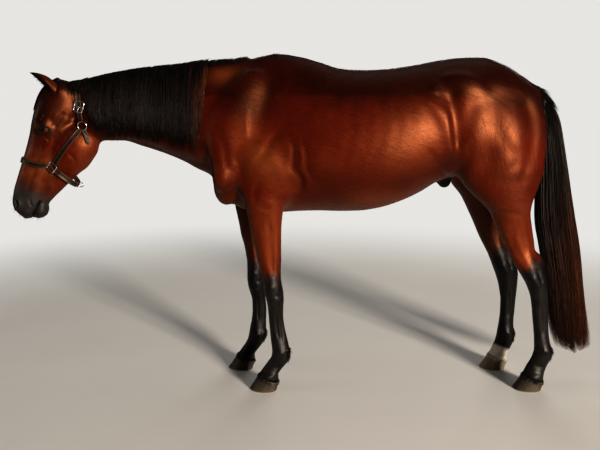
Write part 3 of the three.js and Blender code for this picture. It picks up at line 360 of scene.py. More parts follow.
class Joined:
    """Masses that melt into one another over their bands."""

    def __init__(self, masses, band=30):
        self.masses, self.band = masses, band

    def near(self, points):
        return np.any([mass.near(points) for mass in self.masses], axis=0)

    def field(self, points):
        depth = np.full(len(points), FAR_OUT)
        for mass in self.masses:
            near = mass.near(points)
            if near.any():
                other = mass.field(points[near])
                here = depth[near]
                share = np.maximum(mass.band - np.abs(here - other), 0) / mass.band
                depth[near] = np.minimum(here, other) - share * share * mass.band / 4
        return depth


TRUNK_LUMPS = [
    Lump((-196, 84, 1500), (-366, 150, 1040), 112, 60, 50),   # scapula
    Lump((-262, 140, 1160), (-8, 158, 975), 92, 62, 45),      # triceps
    Lump((-322, 50, 1090), (-352, 52, 876), 70, 82, 40),      # breast
    Lump((-330, 130, 1110), (-366, 138, 950), 52, 52, 40),    # arm
    Lump((650, 184, 1446), (800, 210, 1390), 50, 32, 60),     # hip
    Lump((716, 92, 1476), (1066, 98, 1330), 84, 92, 50),      # gluteal
    Lump((1034, 100, 1418), (1044, 130, 965), 84, 84, 45),    # hamstring
    Lump((792, 158, 1380), (776, 160, 1000), 72, 88, 50),     # stifle
    Lump((900, 148, 1380), (922, 146, 960), 132, 108, 50),    # thigh
]
HEAD_LINE = {"origin": POLL, "along": ALONG, "across": FRONT}
HEAD = Joined([
    Loft(SKULL_ROWS, band=26, **HEAD_LINE),
    Loft(JAW_ROWS, band=22, **HEAD_LINE),
    Lump(in_head(178, -92, 46), in_head(372, -96, 34), 86, 36, 24),   # cheek
    Lump(in_head(172, 34, 76), in_head(262, 12, 76), 32, 26, 22),     # orbit
    Lump(in_head(236, -4, 74), in_head(392, 6, 52), 12, 14, 18),      # cheekbone
    Lump(in_head(566, 74, 28), in_head(646, 38, 32), 26, 26, 20),     # nostril
    Lump(in_head(610, 30, 0), in_head(668, -2, 0), 34, 46, 18),       # upper lip
    Lump(in_head(578, -50, 0), in_head(648, -44, 0), 26, 38, 16),     # lower lip
], band=30)
LEGS = {
    name: Loft(rows, along=(0, 1), across=(1, 0), side=SIDES[name.split("_")[1]], band=45, out=LEG_OUT)
    for name, rows in LEG_ROWS.items()
}
BODY = Joined([
    Loft(TRUNK_ROWS), *TRUNK_LUMPS, Loft(NECK_ROWS, band=45), *LEGS.values(), HEAD,
])
SHEATH_X, DOCK_LOW = 688, 1300
DOCK_ROWS = [[z, front + 6, rear - 6, half - 5] for z, front, rear, half in TAIL_ROWS if z > DOCK_LOW]
FLESH = Joined([
    *BODY.masses,
    Lump((SHEATH_X, 0, 950), (SHEATH_X, 0, 1026), 35, 28, 26),        # sheath
    Loft([[1290, 1112, 1176, 20], *DOCK_ROWS], along=(0, 1), across=(1, 0), band=24),
])

HOOF_HEIGHT, HEEL_HEIGHT, CORONET_SHARE = 70, 36, 0.8
HOOVES = {
    "fore_left": (-240, -110, 64), "fore_right": (-369, -243, 64),
    "hind_left": (1024, 1152, 59), "hind_right": (934, 1058, 59),
}


def leg_row(name, height):
    return next(row for row in LEG_ROWS[name] if row[0] == height)


def coronet(name):
    """Front and rear of the coronet, and its height as a function of x."""
    front, bulb = leg_row(name, HOOF_HEIGHT)[1], leg_row(name, HEEL_HEIGHT)[2]
    fall = (HEEL_HEIGHT - HOOF_HEIGHT) / (bulb - front)
    return front, bulb, lambda x: HOOF_HEIGHT + (x - front) * fall


def flesh_field(points):
    """The body, ending in a flat foot just inside each hoof."""
    depth = FLESH.field(points)
    for name, loft in LEGS.items():
        front, bulb, height = coronet(name)
        foot = (points[:, 2] < 160) & (points[:, 1] * loft.side > 0)
        foot &= (points[:, 0] > front - 60) & (points[:, 0] < bulb + 60)
        depth[foot] = np.maximum(depth[foot], height(points[foot, 0]) - 7 - points[foot, 2])
    return depth


def slope_of(field, points, step=0.7):
    """The field's value and its gradient."""
    slope = np.empty((len(points), 3))
    for axis in range(3):
        move = np.zeros(3)
        move[axis] = step
        slope[:, axis] = (field(points + move) - field(points - move)) / (2 * step)
    return slope


def onto_skin(points, rounds=3):
    """Places moved on to the surface of the body."""
    for _ in range(rounds):
        value = flesh_field(points)
        slope = slope_of(flesh_field, points)
        size = np.maximum((slope ** 2).sum(1), 0.05)
        points = points - slope * np.clip(value / size, -12, 12)[:, None]
    return points

# ---------------------------------------------------------------- the skin as a net over the body


def surface_net(field, low, high, cell):
    """Square faces round all that is inside a field, cast on a grid that is fine only near the skin."""
    levels = 2
    counts = np.ceil((np.array(high) - low) / (cell * 2 ** levels)).astype(int)
    value, near = None, None
    for level in range(levels + 1):
        size = cell * 2 ** (levels - level)
        shape = counts * 2 ** level + 1
        if value is None:
            fresh = np.full(shape, FAR_OUT)
            near = np.ones(shape, bool)
        else:
            half = [np.minimum((np.arange(n) + 1) // 2, m - 1) for n, m in zip(shape, value.shape)]
            floor = [np.arange(n) // 2 for n in shape]
            fresh = value[np.ix_(*floor)]
            band = np.abs(value) < 2 * size * 2.3
            near = np.zeros(shape, bool)
            for pick in range(8):
                axes = [half[k] if pick >> k & 1 else floor[k] for k in range(3)]
                near |= band[np.ix_(*axes)]
        spots = np.argwhere(near)
        fresh[tuple(spots.T)] = field(np.array(low) + spots * size)
        value = fresh
    inside = value < 0
    cells = np.array(value.shape) - 1
    total, count = np.zeros((cells.prod(), 3)), np.zeros(cells.prod())
    quads = []
    for axis in range(3):
        lower = inside.take(range(cells[axis]), axis)
        upper = inside.take(range(1, cells[axis] + 1), axis)
        edge = np.argwhere(lower != upper)
        step = np.eye(3, dtype=int)[axis]
        here, there = value[tuple(edge.T)], value[tuple((edge + step).T)]
        crossing = edge + step * (here / (here - there))[:, None]
        p, q = (axis + 1) % 3, (axis + 2) % 3
        ring = []
        for dp, dq in ((-1, -1), (0, -1), (0, 0), (-1, 0)):
            corner = edge.copy()
            corner[:, p] += dp
            corner[:, q] += dq
            flat = np.ravel_multi_index(corner.T, cells)
            for k in range(3):
                total[:, k] += np.bincount(flat, crossing[:, k], minlength=len(total))
            count += np.bincount(flat, minlength=len(total))
            ring.append(flat)
        ring = np.stack(ring, 1)
        quads.append(np.where((here < 0)[:, None], ring, ring[:, ::-1]))
    quads = np.vstack(quads)
    used, index = np.unique(quads, return_inverse=True)
    points = np.array(low) + total[used] / count[used][:, None] * cell
    return points, index.reshape(-1, 4)


ALONG_3, FRONT_3 = np.array([ALONG[0], 0, ALONG[1]]), np.array([FRONT[0], 0, FRONT[1]])
GAZE = {side: unit(0.22 * FRONT_3 + 0.10 * ALONG_3 + [0, side, 0]) for side in (LEFT, RIGHT)}
EYES = {side: in_head(EYE_DOWN, EYE_FRONT, side * EYE_SIDE) for side in (LEFT, RIGHT)}
NOSTRILS = {side: in_head(606, 58, side * 44) for side in (LEFT, RIGHT)}
NOSTRIL_LONG, NOSTRIL_WIDE = np.array([0, 0, -1.0]), np.array([1.0, 0, 0])
NOSTRIL_REACH, NOSTRIL_BEND = (22, 9.5), 0.012
COAT_DEPTH = 2.6


def read_mesh(mesh):
    points = np.empty(len(mesh.verts) * 3)
    for i, vertex in enumerate(mesh.verts):
        points[3 * i:3 * i + 3] = vertex.co
    return points.reshape(-1, 3)


def write_mesh(mesh, points):
    for vertex, point in zip(mesh.verts, points):
        vertex.co = point


def edges_of(mesh):
    mesh.verts.index_update()
    return np.array([[v.index for v in edge.verts] for edge in mesh.edges])


def relaxed(points, edges, rounds=2, chosen=None):
    """Each point drawn towards the middle of its neighbours."""
    count = np.bincount(edges.ravel(), minlength=len(points))[:, None]
    for _ in range(rounds):
        total = np.stack([
            np.bincount(edges[:, 0], points[edges[:, 1], k], minlength=len(points))
            + np.bincount(edges[:, 1], points[edges[:, 0], k], minlength=len(points)) for k in range(3)
        ], 1)
        moved = points + (total / np.maximum(count, 1) - points) * 0.5
        points = moved if chosen is None else np.where(chosen[:, None], moved, points)
    return points


def refine(mesh, chosen):
    """Halves every edge between two chosen points, and lays the new points on the body."""
    mesh.verts.ensure_lookup_table()
    edges = [edge for edge in mesh.edges if chosen[edge.verts[0].index] and chosen[edge.verts[1].index]]
    bmesh.ops.subdivide_edges(mesh, edges=edges, cuts=1, use_grid_fill=True)
    points = read_mesh(mesh)
    pairs = edges_of(mesh)
    fresh = np.zeros(len(points), bool)
    fresh[len(chosen):] = True
    near = fresh.copy()
    near[pairs[fresh[pairs[:, 0]], 1]] = True
    near[pairs[fresh[pairs[:, 1]], 0]] = True
    points = relaxed(points, pairs, 2, near)
    points[near] = onto_skin(points[near], 2)
    write_mesh(mesh, points)
    return points


def along_path(places, path):
    """Distance of many places to a broken line, and how far along it the nearest point is, 0 to 1."""
    path = np.array(path, float)
    lengths = np.linalg.norm(np.diff(path, axis=0), axis=1)
    best, share, run = np.full(len(places), 1e9), np.zeros(len(places)), 0.0
    for start, end, length in zip(path[:-1], path[1:], lengths):
        direction = (end - start) / length
        t = np.clip((places - start) @ direction, 0, length)
        distance = np.linalg.norm(places - start - t[:, None] * direction, axis=1)
        nearer = distance < best
        best[nearer], share[nearer] = distance[nearer], (run + t[nearer]) / lengths.sum()
        run += length
    return best, share


def muzzle_of(points):
    return (HEAD.field(points) < 4) & (head_frame(points)[0] > MUZZLE_DOWN)


def nearest(points, places):
    """Distance of each point to the nearest of a few places."""
    return np.min([np.linalg.norm(points - place, axis=1) for place in places], axis=0)


def near_any(points, places, distance):
    return nearest(points, places) < distance


def seen_on_head(points):
    """Places as the side view of the head has them: down the face, and out to the front."""
    return np.stack(head_frame(points), 1)


CELL, NET_LOW, NET_HIGH = 12.0, (-1395, -322, 0), (1240, 320, 1620)
CREASE = [(222, -30), (176, -36), (112, -52)]
MOUTH_LINE = [(560, -38), (590, -31), (640, -22), (692, -10)]
points, quads = surface_net(flesh_field, NET_LOW, NET_HIGH, CELL)
points = onto_skin(points, 2)
net = bmesh.new()
verts = [net.verts.new(point) for point in points]
for quad in quads:
    net.faces.new([verts[i] for i in quad])
points = onto_skin(relaxed(points, edges_of(net), 3), 3)
write_mesh(net, points)
points = refine(net, (HEAD.field(points) < 12) | (points[:, 2] < HOCK_TOP))
front = head_frame(points)[1]
at_lips = muzzle_of(points) & (front < 4) & (front > -52)
at_crease = (HEAD.field(points) < 4) & (along_path(seen_on_head(points), CREASE)[0] < 34)
points = refine(net, near_any(points, EYES.values(), 62) | near_any(points, NOSTRILS.values(), 44)
                | at_lips | at_crease)
at_mouth = muzzle_of(points) & (along_path(seen_on_head(points), MOUTH_LINE)[0] < 7)
points = refine(net, near_any(points, EYES.values(), 33) | at_mouth)

# ---------------------------------------------------------------- sculpting


PATH_STEPS = 5


def bend(path):
    """A path made smooth between its few places."""
    path = np.array(path, float)
    run = np.concatenate([[0], np.cumsum(np.linalg.norm(np.diff(path, axis=0), axis=1))])
    if len(path) < 3:
        return path
    return Curve(run, path)(np.linspace(0, run[-1], (len(path) - 1) * PATH_STEPS + 1))


def stroke(places, path, height, width):
    """A soft ridge along a path, or a groove where the height is negative, fading out at its ends."""
    path = bend(path)
    room = 3 * width
    near = np.all((places > path.min(0) - room) & (places < path.max(0) + room), axis=1)
    lift = np.zeros(len(places))
    distance, share = along_path(places[near], path)
    fade = smooth(0, 0.22, share) * smooth(0, 0.22, 1 - share) * 0.85 + 0.15
    lift[near] = height * hill(distance / width) * fade
    return lift


# path seen from the side, height of the ridge, its width
TRUNK_STROKES = [
    # elbow fold
    ([(-55, 1219), (-29, 1138), (-35, 1068), (0, 1021), (3, 986), (-30, 944), (-65, 908)], -8, 13),
    ([(-20, 1190), (4, 1120), (2, 1066), (32, 1015), (34, 975), (0, 925)], 4, 11),
    ([(8, 1180), (28, 1120), (30, 1060), (58, 1010)], -4, 11),
    # triceps
    ([(-63, 1254), (-133, 1185), (-168, 1116), (-233, 1046)], -6, 17),
    ([(-176, 1021), (-200, 974), (-212, 932), (-183, 891), (-118, 873)], -6, 14),
    ([(-150, 1150), (-95, 1060), (-70, 980)], 4, 26),
    # shoulder
    ([(-310, 1097), (-287, 1044), (-285, 962)], 5, 18),
    ([(-205, 1190), (-180, 1110), (-165, 1040)], 5, 62),
    ([(-215, 1420), (-240, 1330), (-262, 1240), (-290, 1170)], -2.5, 46),
    ([(-395, 1260), (-340, 1150), (-330, 1040)], -5, 16),
    # flank
    ([(500, 1420), (546, 1370), (592, 1326), (628, 1272), (650, 1194), (666, 1128), (680, 1055)], 7, 27),
    ([(634, 1425), (666, 1345), (684, 1227), (692, 1127)], -12, 33),
    ([(470, 1440), (520, 1360), (575, 1290), (600, 1200)], -2, 40),
    ([(628, 1350), (646, 1270), (660, 1190), (672, 1120)], 5, 12),
    ([(606, 1456), (592, 1424), (587, 1385)], 7, 20),
    ([(550, 1158), (597, 1101), (633, 1050), (690, 1010)], -6, 14),
    # thigh
    ([(834, 1348), (868, 1228), (953, 1094), (899, 1038), (852, 970)], -2.5, 26),
    ([(969, 1398), (1021, 1270), (1033, 1158), (999, 1044), (966, 917)], -2.5, 28),
    ([(730, 1194), (712, 1083)], 5, 20),
    ([(880, 842), (940, 862), (1010, 846)], -4, 13),
    ([(760, 1520), (860, 1490), (960, 1430)], -4, 24),
    # neck
    ([(-900, 1180), (-740, 1160), (-560, 1090), (-400, 1060)], -7, 17),
    ([(-880, 1215), (-700, 1190), (-520, 1130), (-390, 1110)], 5, 18),
    ([(-900, 1400), (-740, 1370), (-560, 1320), (-400, 1290)], -5, 24),
    ([(-940, 1330), (-780, 1290), (-600, 1230), (-420, 1190)], 4, 26),
] + [([(70 + 62 * k, 1420 - 4 * k), (58 + 66 * k, 1240), (10 + 66 * k, 1060)], 0.7, 17) for k in range(8)]

# path on a leg: share of the way from its front edge to its rear edge, and height
FORE_STROKES = [
    ([(0.32, 809), (0.35, 625), (0.42, 545)], 3.5, 11),
    ([(0.85, 840), (0.86, 613)], 2.5, 12),
    ([(0.62, 850), (0.62, 700), (0.6, 560)], -4.5, 9),
    ([(0.2, 514), (0.62, 501)], 3, 11),
    ([(0.2, 420), (0.62, 412)], 3, 9),
    ([(0.55, 470), (0.9, 462)], -3, 9),
    ([(0.5, 385), (0.5, 250)], -5, 5.5),
    ([(0.78, 375), (0.76, 240)], -2.5, 4.5),
    ([(0.3, 190), (0.75, 180)], 4, 14),
    ([(0.95, 205), (1.0, 165)], 5, 9),
    ([(0.2, 118), (0.8, 112)], -2.5, 9),
]
HIND_STROKES = [
    ([(0.49, 829), (0.27, 743), (0.27, 648), (0.35, 587)], -4, 12),
    ([(0.66, 829), (0.74, 709), (0.5, 614)], 4, 12),
    ([(0.86, 700), (0.8, 640)], -8, 10),
    ([(0.3, 560), (0.45, 500)], 4, 14),
    ([(0.62, 600), (0.7, 520)], -4, 9),
    ([(0.5, 420), (0.5, 260)], -5, 5.5),
    ([(0.8, 430), (0.78, 250)], -2.5, 4.5),
    ([(0.3, 198), (0.75, 188)], 4, 14),
    ([(0.95, 212), (1.0, 172)], 5, 9),
    ([(0.2, 124), (0.8, 116)], -2.5, 9),
]

# path on the head: down the face, out to the front
HEAD_STROKES = [
    # facial crest and the hollow under it
    ([(238, -22), (300, -18), (392, -12)], 4.5, 8),
    ([(250, -40), (320, -36), (400, -30)], -3, 10),
    # front edge of the cheek, and the hollow between nose bone and lip
    ([(286, -100), (318, -150), (368, -160)], -4, 9),
    ([(400, 22), (470, 24), (540, 34)], -3.5, 12),
    ([(330, 70), (430, 76), (530, 84)], 3, 9),
    # crease behind the eye, its bony arch
    ([(207, -14), (176, -28), (146, -38), (112, -46)], -3.2, 12),
    ([(222, -36), (180, -56), (130, -72)], 1.8, 18),
    # hollow above the eye
    ([(196, 58), (172, 52), (150, 44)], -7, 13),
    ([(248, 44), (214, 62), (180, 66)], 4, 9),
    ([(250, 10), (262, -6), (262, -22)], -2.5, 5),
    ([(120, -60), (150, -110), (190, -160)], -3, 16),
    # folds at the corner of the mouth
    ([(560, 10), (590, -4), (600, -14)], -2.5, 6),
    ([(560, -38), (585, -30), (600, -26)], -3, 4),
    ([(556, -62), (580, -72), (596, -70)], -3.5, 8),
]


def nostril_ring(points, side):
    """Places across a nostril, and how far out they are as a share of its comma-shaped edge."""
    place = points - NOSTRILS[side]
    a, b = place @ NOSTRIL_LONG, place @ NOSTRIL_WIDE
    b = b + NOSTRIL_BEND * a * a
    return a, b, np.hypot(a / NOSTRIL_REACH[0], b / NOSTRIL_REACH[1])


normals = unit(slope_of(flesh_field, points))
sideways = smooth(0.12, 0.5, np.abs(normals[:, 1]))
side_view, head_view = points[:, [0, 2]], seen_on_head(points)
is_head = HEAD.field(points) < 6
lift = np.zeros(len(points))
for path, height, width in TRUNK_STROKES:
    lift += stroke(side_view, path, height, width) * np.where(is_head, 0, sideways)
for name, loft in LEGS.items():
    mine = np.flatnonzero((points[:, 1] * loft.side > 15) & (points[:, 2] < LEG_TOP))
    for path, height, width in FORE_STROKES if "fore" in name else HIND_STROKES:
        edges = loft.section(np.array([z for _, z in path], float))
        path = [(edge[0] + share * (edge[1] - edge[0]), z) for (share, z), edge in zip(path, edges)]
        lift[mine] += stroke(side_view[mine], path, height, width) * sideways[mine]
for path, height, width in HEAD_STROKES:
    lift += stroke(head_view, path, height, width) * np.where(is_head, sideways, 0)
lips = is_head & (head_view[:, 0] > LIPS_DOWN)
lift += np.where(lips, stroke(head_view, MOUTH_LINE, -7, 2.6), 0)
for side, place in NOSTRILS.items():
    mine = near_any(points, [place], 44) & (normals[:, 1] * side > -0.2)
    lift += np.where(mine, 3.2 * hill((nostril_ring(points, side)[2] - 1.35) / 0.32), 0)
    # the swelling that the ear stands on
    lift += 14 * hill(np.linalg.norm(points - in_head(*EAR_ROOT, side * EAR_SIDE), axis=1) / 32)
points = points + normals * (lift - COAT_DEPTH)[:, None]


def open_nostril(points, side):
    """A comma-shaped pit, its edge drawn on to one clean line."""
    a, b, ring = nostril_ring(points, side)
    mine = near_any(points, [NOSTRILS[side]], 40) & (points[:, 1] * side > 12)
    gap = (1 - 1 / np.maximum(ring, 0.01)) * np.hypot(a, b)
    edge = mine & (np.abs(gap) < 1.6)
    points[edge] -= ((1 - 1 / ring[edge])[:, None]
                     * (a[edge, None] * NOSTRIL_LONG + b[edge, None] * NOSTRIL_WIDE))
    inner = mine & (gap < -1.6)
    inward = unit(np.array([0, -side, 0.0]) - 0.5 * ALONG_3 - 0.2 * FRONT_3)
    points[inner] += inward * (17 * smooth(1.0, 0.35, ring[inner]) + 2)[:, None]


SLIT_LONG, SLIT_UP = -0.79 * ALONG_3 - 0.61 * FRONT_3, -0.61 * ALONG_3 + 0.79 * FRONT_3
SLIT_HALF, SLIT_END = 18.5, 18.2


def eye_axes(side):
    gaze = GAZE[side]
    long_way = unit(SLIT_LONG - gaze * (gaze @ SLIT_LONG))
    return gaze, long_way, unit(SLIT_UP - gaze * (gaze @ SLIT_UP) - long_way * (long_way @ SLIT_UP))


def upper_lid(t):
    """Height of the upper lid's edge, from one corner of the eye at -1 to the other at 1."""
    return 4.9 * (1 - t * t) ** 0.8 + 0.9 * t


def open_eye(points, side):
    """Lids drawn over the ball, a crease above them, and an opening with a clean edge."""
    gaze, long_way, up_way = eye_axes(side)
    place = points - EYES[side]
    a, b, g = place @ long_way, place @ up_way, place @ gaze
    reach = np.linalg.norm(place, axis=1)
    mine = (reach < 46) & (g > 0)
    lid = EYE_RADIUS + 2.9
    cover = np.maximum(lid - reach + 3, 0)
    wanted = reach + np.where(reach < lid, lid - reach, 0) + np.minimum(cover, 3) ** 2 / 12
    share = np.abs(a) / 25
    arch = np.maximum(1 - share ** 2, 0)
    wanted -= 2.2 * hill((b - 12.5 * arch) / 1.9) * smooth(1.15, 0.7, share)
    wanted -= 1.1 * hill((b + 10.5 * arch) / 1.7) * smooth(1.1, 0.6, share)
    t = np.clip(a / SLIT_HALF, -1, 1)
    top, low = upper_lid(t), -3.9 * (1 - t * t) + 0.9 * t
    middle, half = (top + low) / 2, np.maximum((top - low) / 2, 0.01)
    gap = np.abs(b - middle) - half
    across = np.where(b > middle, 1.0, -1.0)
    edge = mine & (np.abs(gap) < 0.8) & (np.abs(a) < SLIT_END)
    inner = mine & (gap < -0.8) & (np.abs(a) < SLIT_END)
    b = np.where(edge, middle + across * half, b)
    fixed = a[:, None] * long_way + b[:, None] * up_way
    depth = np.sqrt(np.maximum(wanted ** 2 - a ** 2 - b ** 2, 0))
    depth = np.where(inner, np.sqrt(np.maximum((EYE_RADIUS - 4.5) ** 2 - a ** 2 - b ** 2, 0)), depth)
    front_part = mine & (np.hypot(a, b) < 26)
    out = place.copy()
    out[front_part] = (fixed + depth[:, None] * gaze)[front_part]
    rest = mine & ~front_part
    out[rest] *= (wanted / reach)[rest][:, None]
    points[:] = EYES[side] + out


for side in (LEFT, RIGHT):
    open_nostril(points, side)
    open_eye(points, side)
write_mesh(net, points)

# ---------------------------------------------------------------- meshes


def flat_mesh(name, points, faces, values=None, uv=None, soft=True):
    """An object from points in millimetres and arrays of faces, one array for each number of corners."""
    mesh = bpy.data.meshes.new(name)
    faces = [np.asarray(group) for group in faces if len(group)]
    corners = np.concatenate([group.ravel() for group in faces])
    sizes = np.concatenate([np.full(len(group), group.shape[1]) for group in faces])
    mesh.vertices.add(len(points))
    mesh.vertices.foreach_set("co", ((np.asarray(points) + SHIFT) * MM).astype(np.float32).ravel())
    mesh.loops.add(len(corners))
    mesh.loops.foreach_set("vertex_index", corners.astype(np.int32))
    mesh.polygons.add(len(sizes))
    mesh.polygons.foreach_set("loop_start", np.concatenate([[0], np.cumsum(sizes)[:-1]]).astype(np.int32))
    mesh.update(calc_edges=True)
    mesh.polygons.foreach_set("use_smooth", np.full(len(sizes), soft))
    for key, value in (values or {}).items():
        value = np.asarray(value, np.float32)
        kind, field = ("FLOAT", "value") if value.ndim == 1 else ("FLOAT_VECTOR", "vector")
        mesh.attributes.new(key, kind, "POINT").data.foreach_set(field, value.ravel())
    if uv is not None:
        layer = mesh.uv_layers.new(name="OFBake")
        layer.data.foreach_set("uv", uv[corners].astype(np.float32).ravel())
    mesh.validate()
    item = bpy.data.objects.new(name, mesh)
    bpy.context.collection.objects.link(item)
    return item


def place_piece(item, paint, slot, *nodes):
    """Gives a piece its material, its body and the solids it stands for; its slot is not used."""
    item.data.materials.append(paint)
    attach(item, "root")
    if nodes:
        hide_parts(*nodes)


def tube(rings, around, backwards=False):
    """Square faces between rings of points, and fans to the two end points that follow them."""
    index = np.arange(rings * around).reshape(rings, around)
    turned = np.roll(index, -1, 1)
    quads = np.stack([index[:-1], turned[:-1], turned[1:], index[1:]], -1).reshape(-1, 4)
    first, last = np.full(around, index.size), np.full(around, index.size + 1)
    fans = np.concatenate([np.stack([turned[0], index[0], first], 1),
                           np.stack([index[-1], turned[-1], last], 1)])
    return [quads[:, [0, 3, 2, 1]], fans[:, [1, 0, 2]]] if backwards else [quads, fans]


def turned_over(groups):
    return [group[:, ::-1] for group in groups]


def facing_out(points, groups, inside):
    """The faces, turned over if the first of them looks at a place inside."""
    corner = points[groups[0][0]]
    flow = np.cross(corner[1] - corner[0], corner[2] - corner[0])
    return turned_over(groups) if np.dot(flow, corner.mean(0) - inside) < 0 else groups

# ---------------------------------------------------------------- materials


class Nodes:
    """Short words for building a node tree."""

    def __init__(self, tree):
        self.tree = tree

    def add(self, kind, sockets=None, **settings):
        node = self.tree.nodes.new(kind)
        for key, value in settings.items():
            setattr(node, key, value)
        for key, value in (sockets or {}).items():
            self.plug(value, node.inputs[key])
        return node

    def plug(self, value, socket):
        if isinstance(value, bpy.types.NodeSocket):
            self.tree.links.new(value, socket)
        else:
            colour = isinstance(value, tuple) and len(value) == 3 and socket.type == "RGBA"
            socket.default_value = (*value, 1) if colour else value

    def value(self, name, kind="Fac"):
        return self.add("ShaderNodeAttribute", attribute_name=name).outputs[kind]

    def here(self):
        """A place on the piece itself."""
        return self.add("ShaderNodeTexCoord").outputs["Object"]

    def noise(self, place, scale, detail=3.0, rough=0.55):
        node = self.add("ShaderNodeTexNoise", {"Vector": place, "Scale": scale, "Detail": detail,
                                               "Roughness": rough})
        return node.outputs["Fac"]

    def stretch(self, place, scale, turn=(0, 0, 0)):
        node = self.add("ShaderNodeMapping", {"Vector": place, "Scale": scale, "Rotation": turn})
        return node.outputs["Vector"]

    def range(self, value, low, high, to_low=0.0, to_high=1.0):
        node = self.add("ShaderNodeMapRange", {"Value": value, "From Min": low, "From Max": high,
                                               "To Min": to_low, "To Max": to_high},
                        interpolation_type="SMOOTHSTEP")
        return node.outputs["Result"]

    def math(self, operation, first, second=0.0):
        node = self.add("ShaderNodeMath", {0: first, 1: second}, operation=operation)
        return node.outputs[0]

    def plus(self, first, second):
        return self.math("ADD", first, second)

    def times(self, first, second):
        return self.math("MULTIPLY", first, second)

    def mix(self, share, first, second, blend="MIX"):
        node = self.add("ShaderNodeMix", {0: share, 6: first, 7: second}, data_type="RGBA", blend_type=blend)
        return node.outputs[2]

    def bump(self, height, distance, strength=1.0, normal=None):
        sockets = {"Height": height, "Distance": distance, "Strength": strength}
        if normal is not None:
            sockets["Normal"] = normal
        return self.add("ShaderNodeBump", sockets).outputs["Normal"]


def node_group(name, inputs, outputs):
    group = bpy.data.node_groups.new(name, "ShaderNodeTree")
    for way, sockets in (("INPUT", inputs), ("OUTPUT", outputs)):
        for label, kind, *usual in sockets:
            socket = group.interface.new_socket(name=label, in_out=way, socket_type="NodeSocket" + kind)
            if usual:
                socket.default_value = usual[0]
    given, wanted = group.nodes.new("NodeGroupInput").outputs, group.nodes.new("NodeGroupOutput").inputs
    return group, Nodes(group), given, wanted


def material(name, **fixed):
    """A Principled material; fixed values go straight on to its own sockets."""
    made = bpy.data.materials.new(name)
    made.use_nodes = True
    shader = made.node_tree.nodes["Principled BSDF"]
    for label, value in fixed.items():
        shader.inputs[label.replace("_", " ")].default_value = value
    return made, Nodes(made.node_tree), shader.inputs


BAY, MAROON, BLACK = (0.092, 0.0098, 0.0034), (0.026, 0.0027, 0.0016), (0.0032, 0.0028, 0.0028)
GOLD, SLATE, WHITE = (0.165, 0.050, 0.016), (0.0250, 0.0215, 0.0190), (0.60, 0.53, 0.46)
MARKS = {"deep": MAROON, "gold": GOLD, "slate": SLATE, "black": BLACK, "white": WHITE}
WARM_GLOSS, COOL_GLOSS = (0.86, 0.34, 0.16), (0.36, 0.34, 0.33)

# The markings of a bay, with painted shade and painted highlights mixed in: one group for the skin and for
# every tuft on it.
bay_group, n, gave, gives = node_group(
    "bay markings", [*((mark.capitalize(), "Float") for mark in MARKS), ("Streak", "Float", 0.5)],
    [("Color", "Color")])
tone = BAY
for mark, paint in MARKS.items():
    tone = n.mix(gave[mark.capitalize()], tone, paint)
shade = n.range(gave["Streak"], 0.2, 0.8, 0.62, 1.38)
shade = n.add("ShaderNodeCombineColor", {0: shade, 1: shade, 2: shade}).outputs[0]
n.plug(n.mix(1.0, tone, shade, "MULTIPLY"), gives["Color"])

# Short hair lying one way: fine streaks, and softer clumps of them.
lie_group, n, gave, gives = node_group(
    "hair lie", [("Place", "Vector")], [("Streak", "Float"), ("Height", "Float"), ("Ripple", "Float")])
place = gave["Place"]
fine = n.noise(n.stretch(place, (60, 900, 900)), 1.0, 2.0, 0.6)
clump = n.noise(n.stretch(place, (16, 130, 130)), 1.0, 3.0, 0.6)
patch = n.noise(place, 9.0, 3.0, 0.6)
n.plug(n.plus(n.times(fine, 0.35), n.plus(n.times(clump, 0.35), n.times(patch, 0.3))), gives["Streak"])
n.plug(n.plus(n.times(fine, 0.45), n.times(clump, 0.55)), gives["Height"])
n.plug(n.noise(n.stretch(place, (9, 36, 36)), 1.0, 3.0, 0.6), gives["Ripple"])


def use_group(nodes, group, sockets):
    return nodes.add("ShaderNodeGroup", sockets, node_tree=group).outputs


def marked(nodes, shader, streak):
    """The coat's colour, with its painted shade and highlights, and its gloss: warm on the bay parts, cool on
    the dark ones.
    """
    given = {mark.capitalize(): nodes.value(mark) for mark in MARKS}
    nodes.plug(use_group(nodes, bay_group, {**given, "Streak": streak})["Color"], shader["Base Color"])
    dark = nodes.range(nodes.plus(nodes.value("black"), nodes.value("slate")), 0.4, 0.9)
    nodes.plug(nodes.mix(dark, WARM_GLOSS, COOL_GLOSS), shader["Specular Tint"])


coat_skin, n, shader = material("bay coat", Specular_IOR_Level=0.75,
                                Sheen_Weight=0.03, Sheen_Roughness=0.4, Sheen_Tint=(0.95, 0.36, 0.16, 1))
lie = use_group(n, lie_group, {"Place": n.value("lie", "Vector")})
marked(n, shader, lie["Streak"])
bare = n.value("bare")
n.plug(n.range(n.plus(lie["Streak"], n.times(bare, 0.25)), 0.3, 1.0, 0.38, 0.60), shader["Roughness"])
wrinkle = n.noise(n.here(), 260.0, 4.0, 0.65)
height = n.plus(n.times(lie["Height"], n.math("SUBTRACT", 1.0, bare)), n.times(wrinkle, bare))
n.plug(n.bump(height, 0.0010, 0.70, n.bump(lie["Ripple"], 0.005, 0.22)), shader["Normal"])

tuft_hair, n, shader = material("bay tufts", Specular_IOR_Level=0.7, Roughness=0.50)
marked(n, shader, n.plus(n.times(n.value("own"), 0.36), 0.32))
n.plug(n.bump(n.noise(n.here(), 1800.0, 1.0), 0.0002), shader["Normal"])

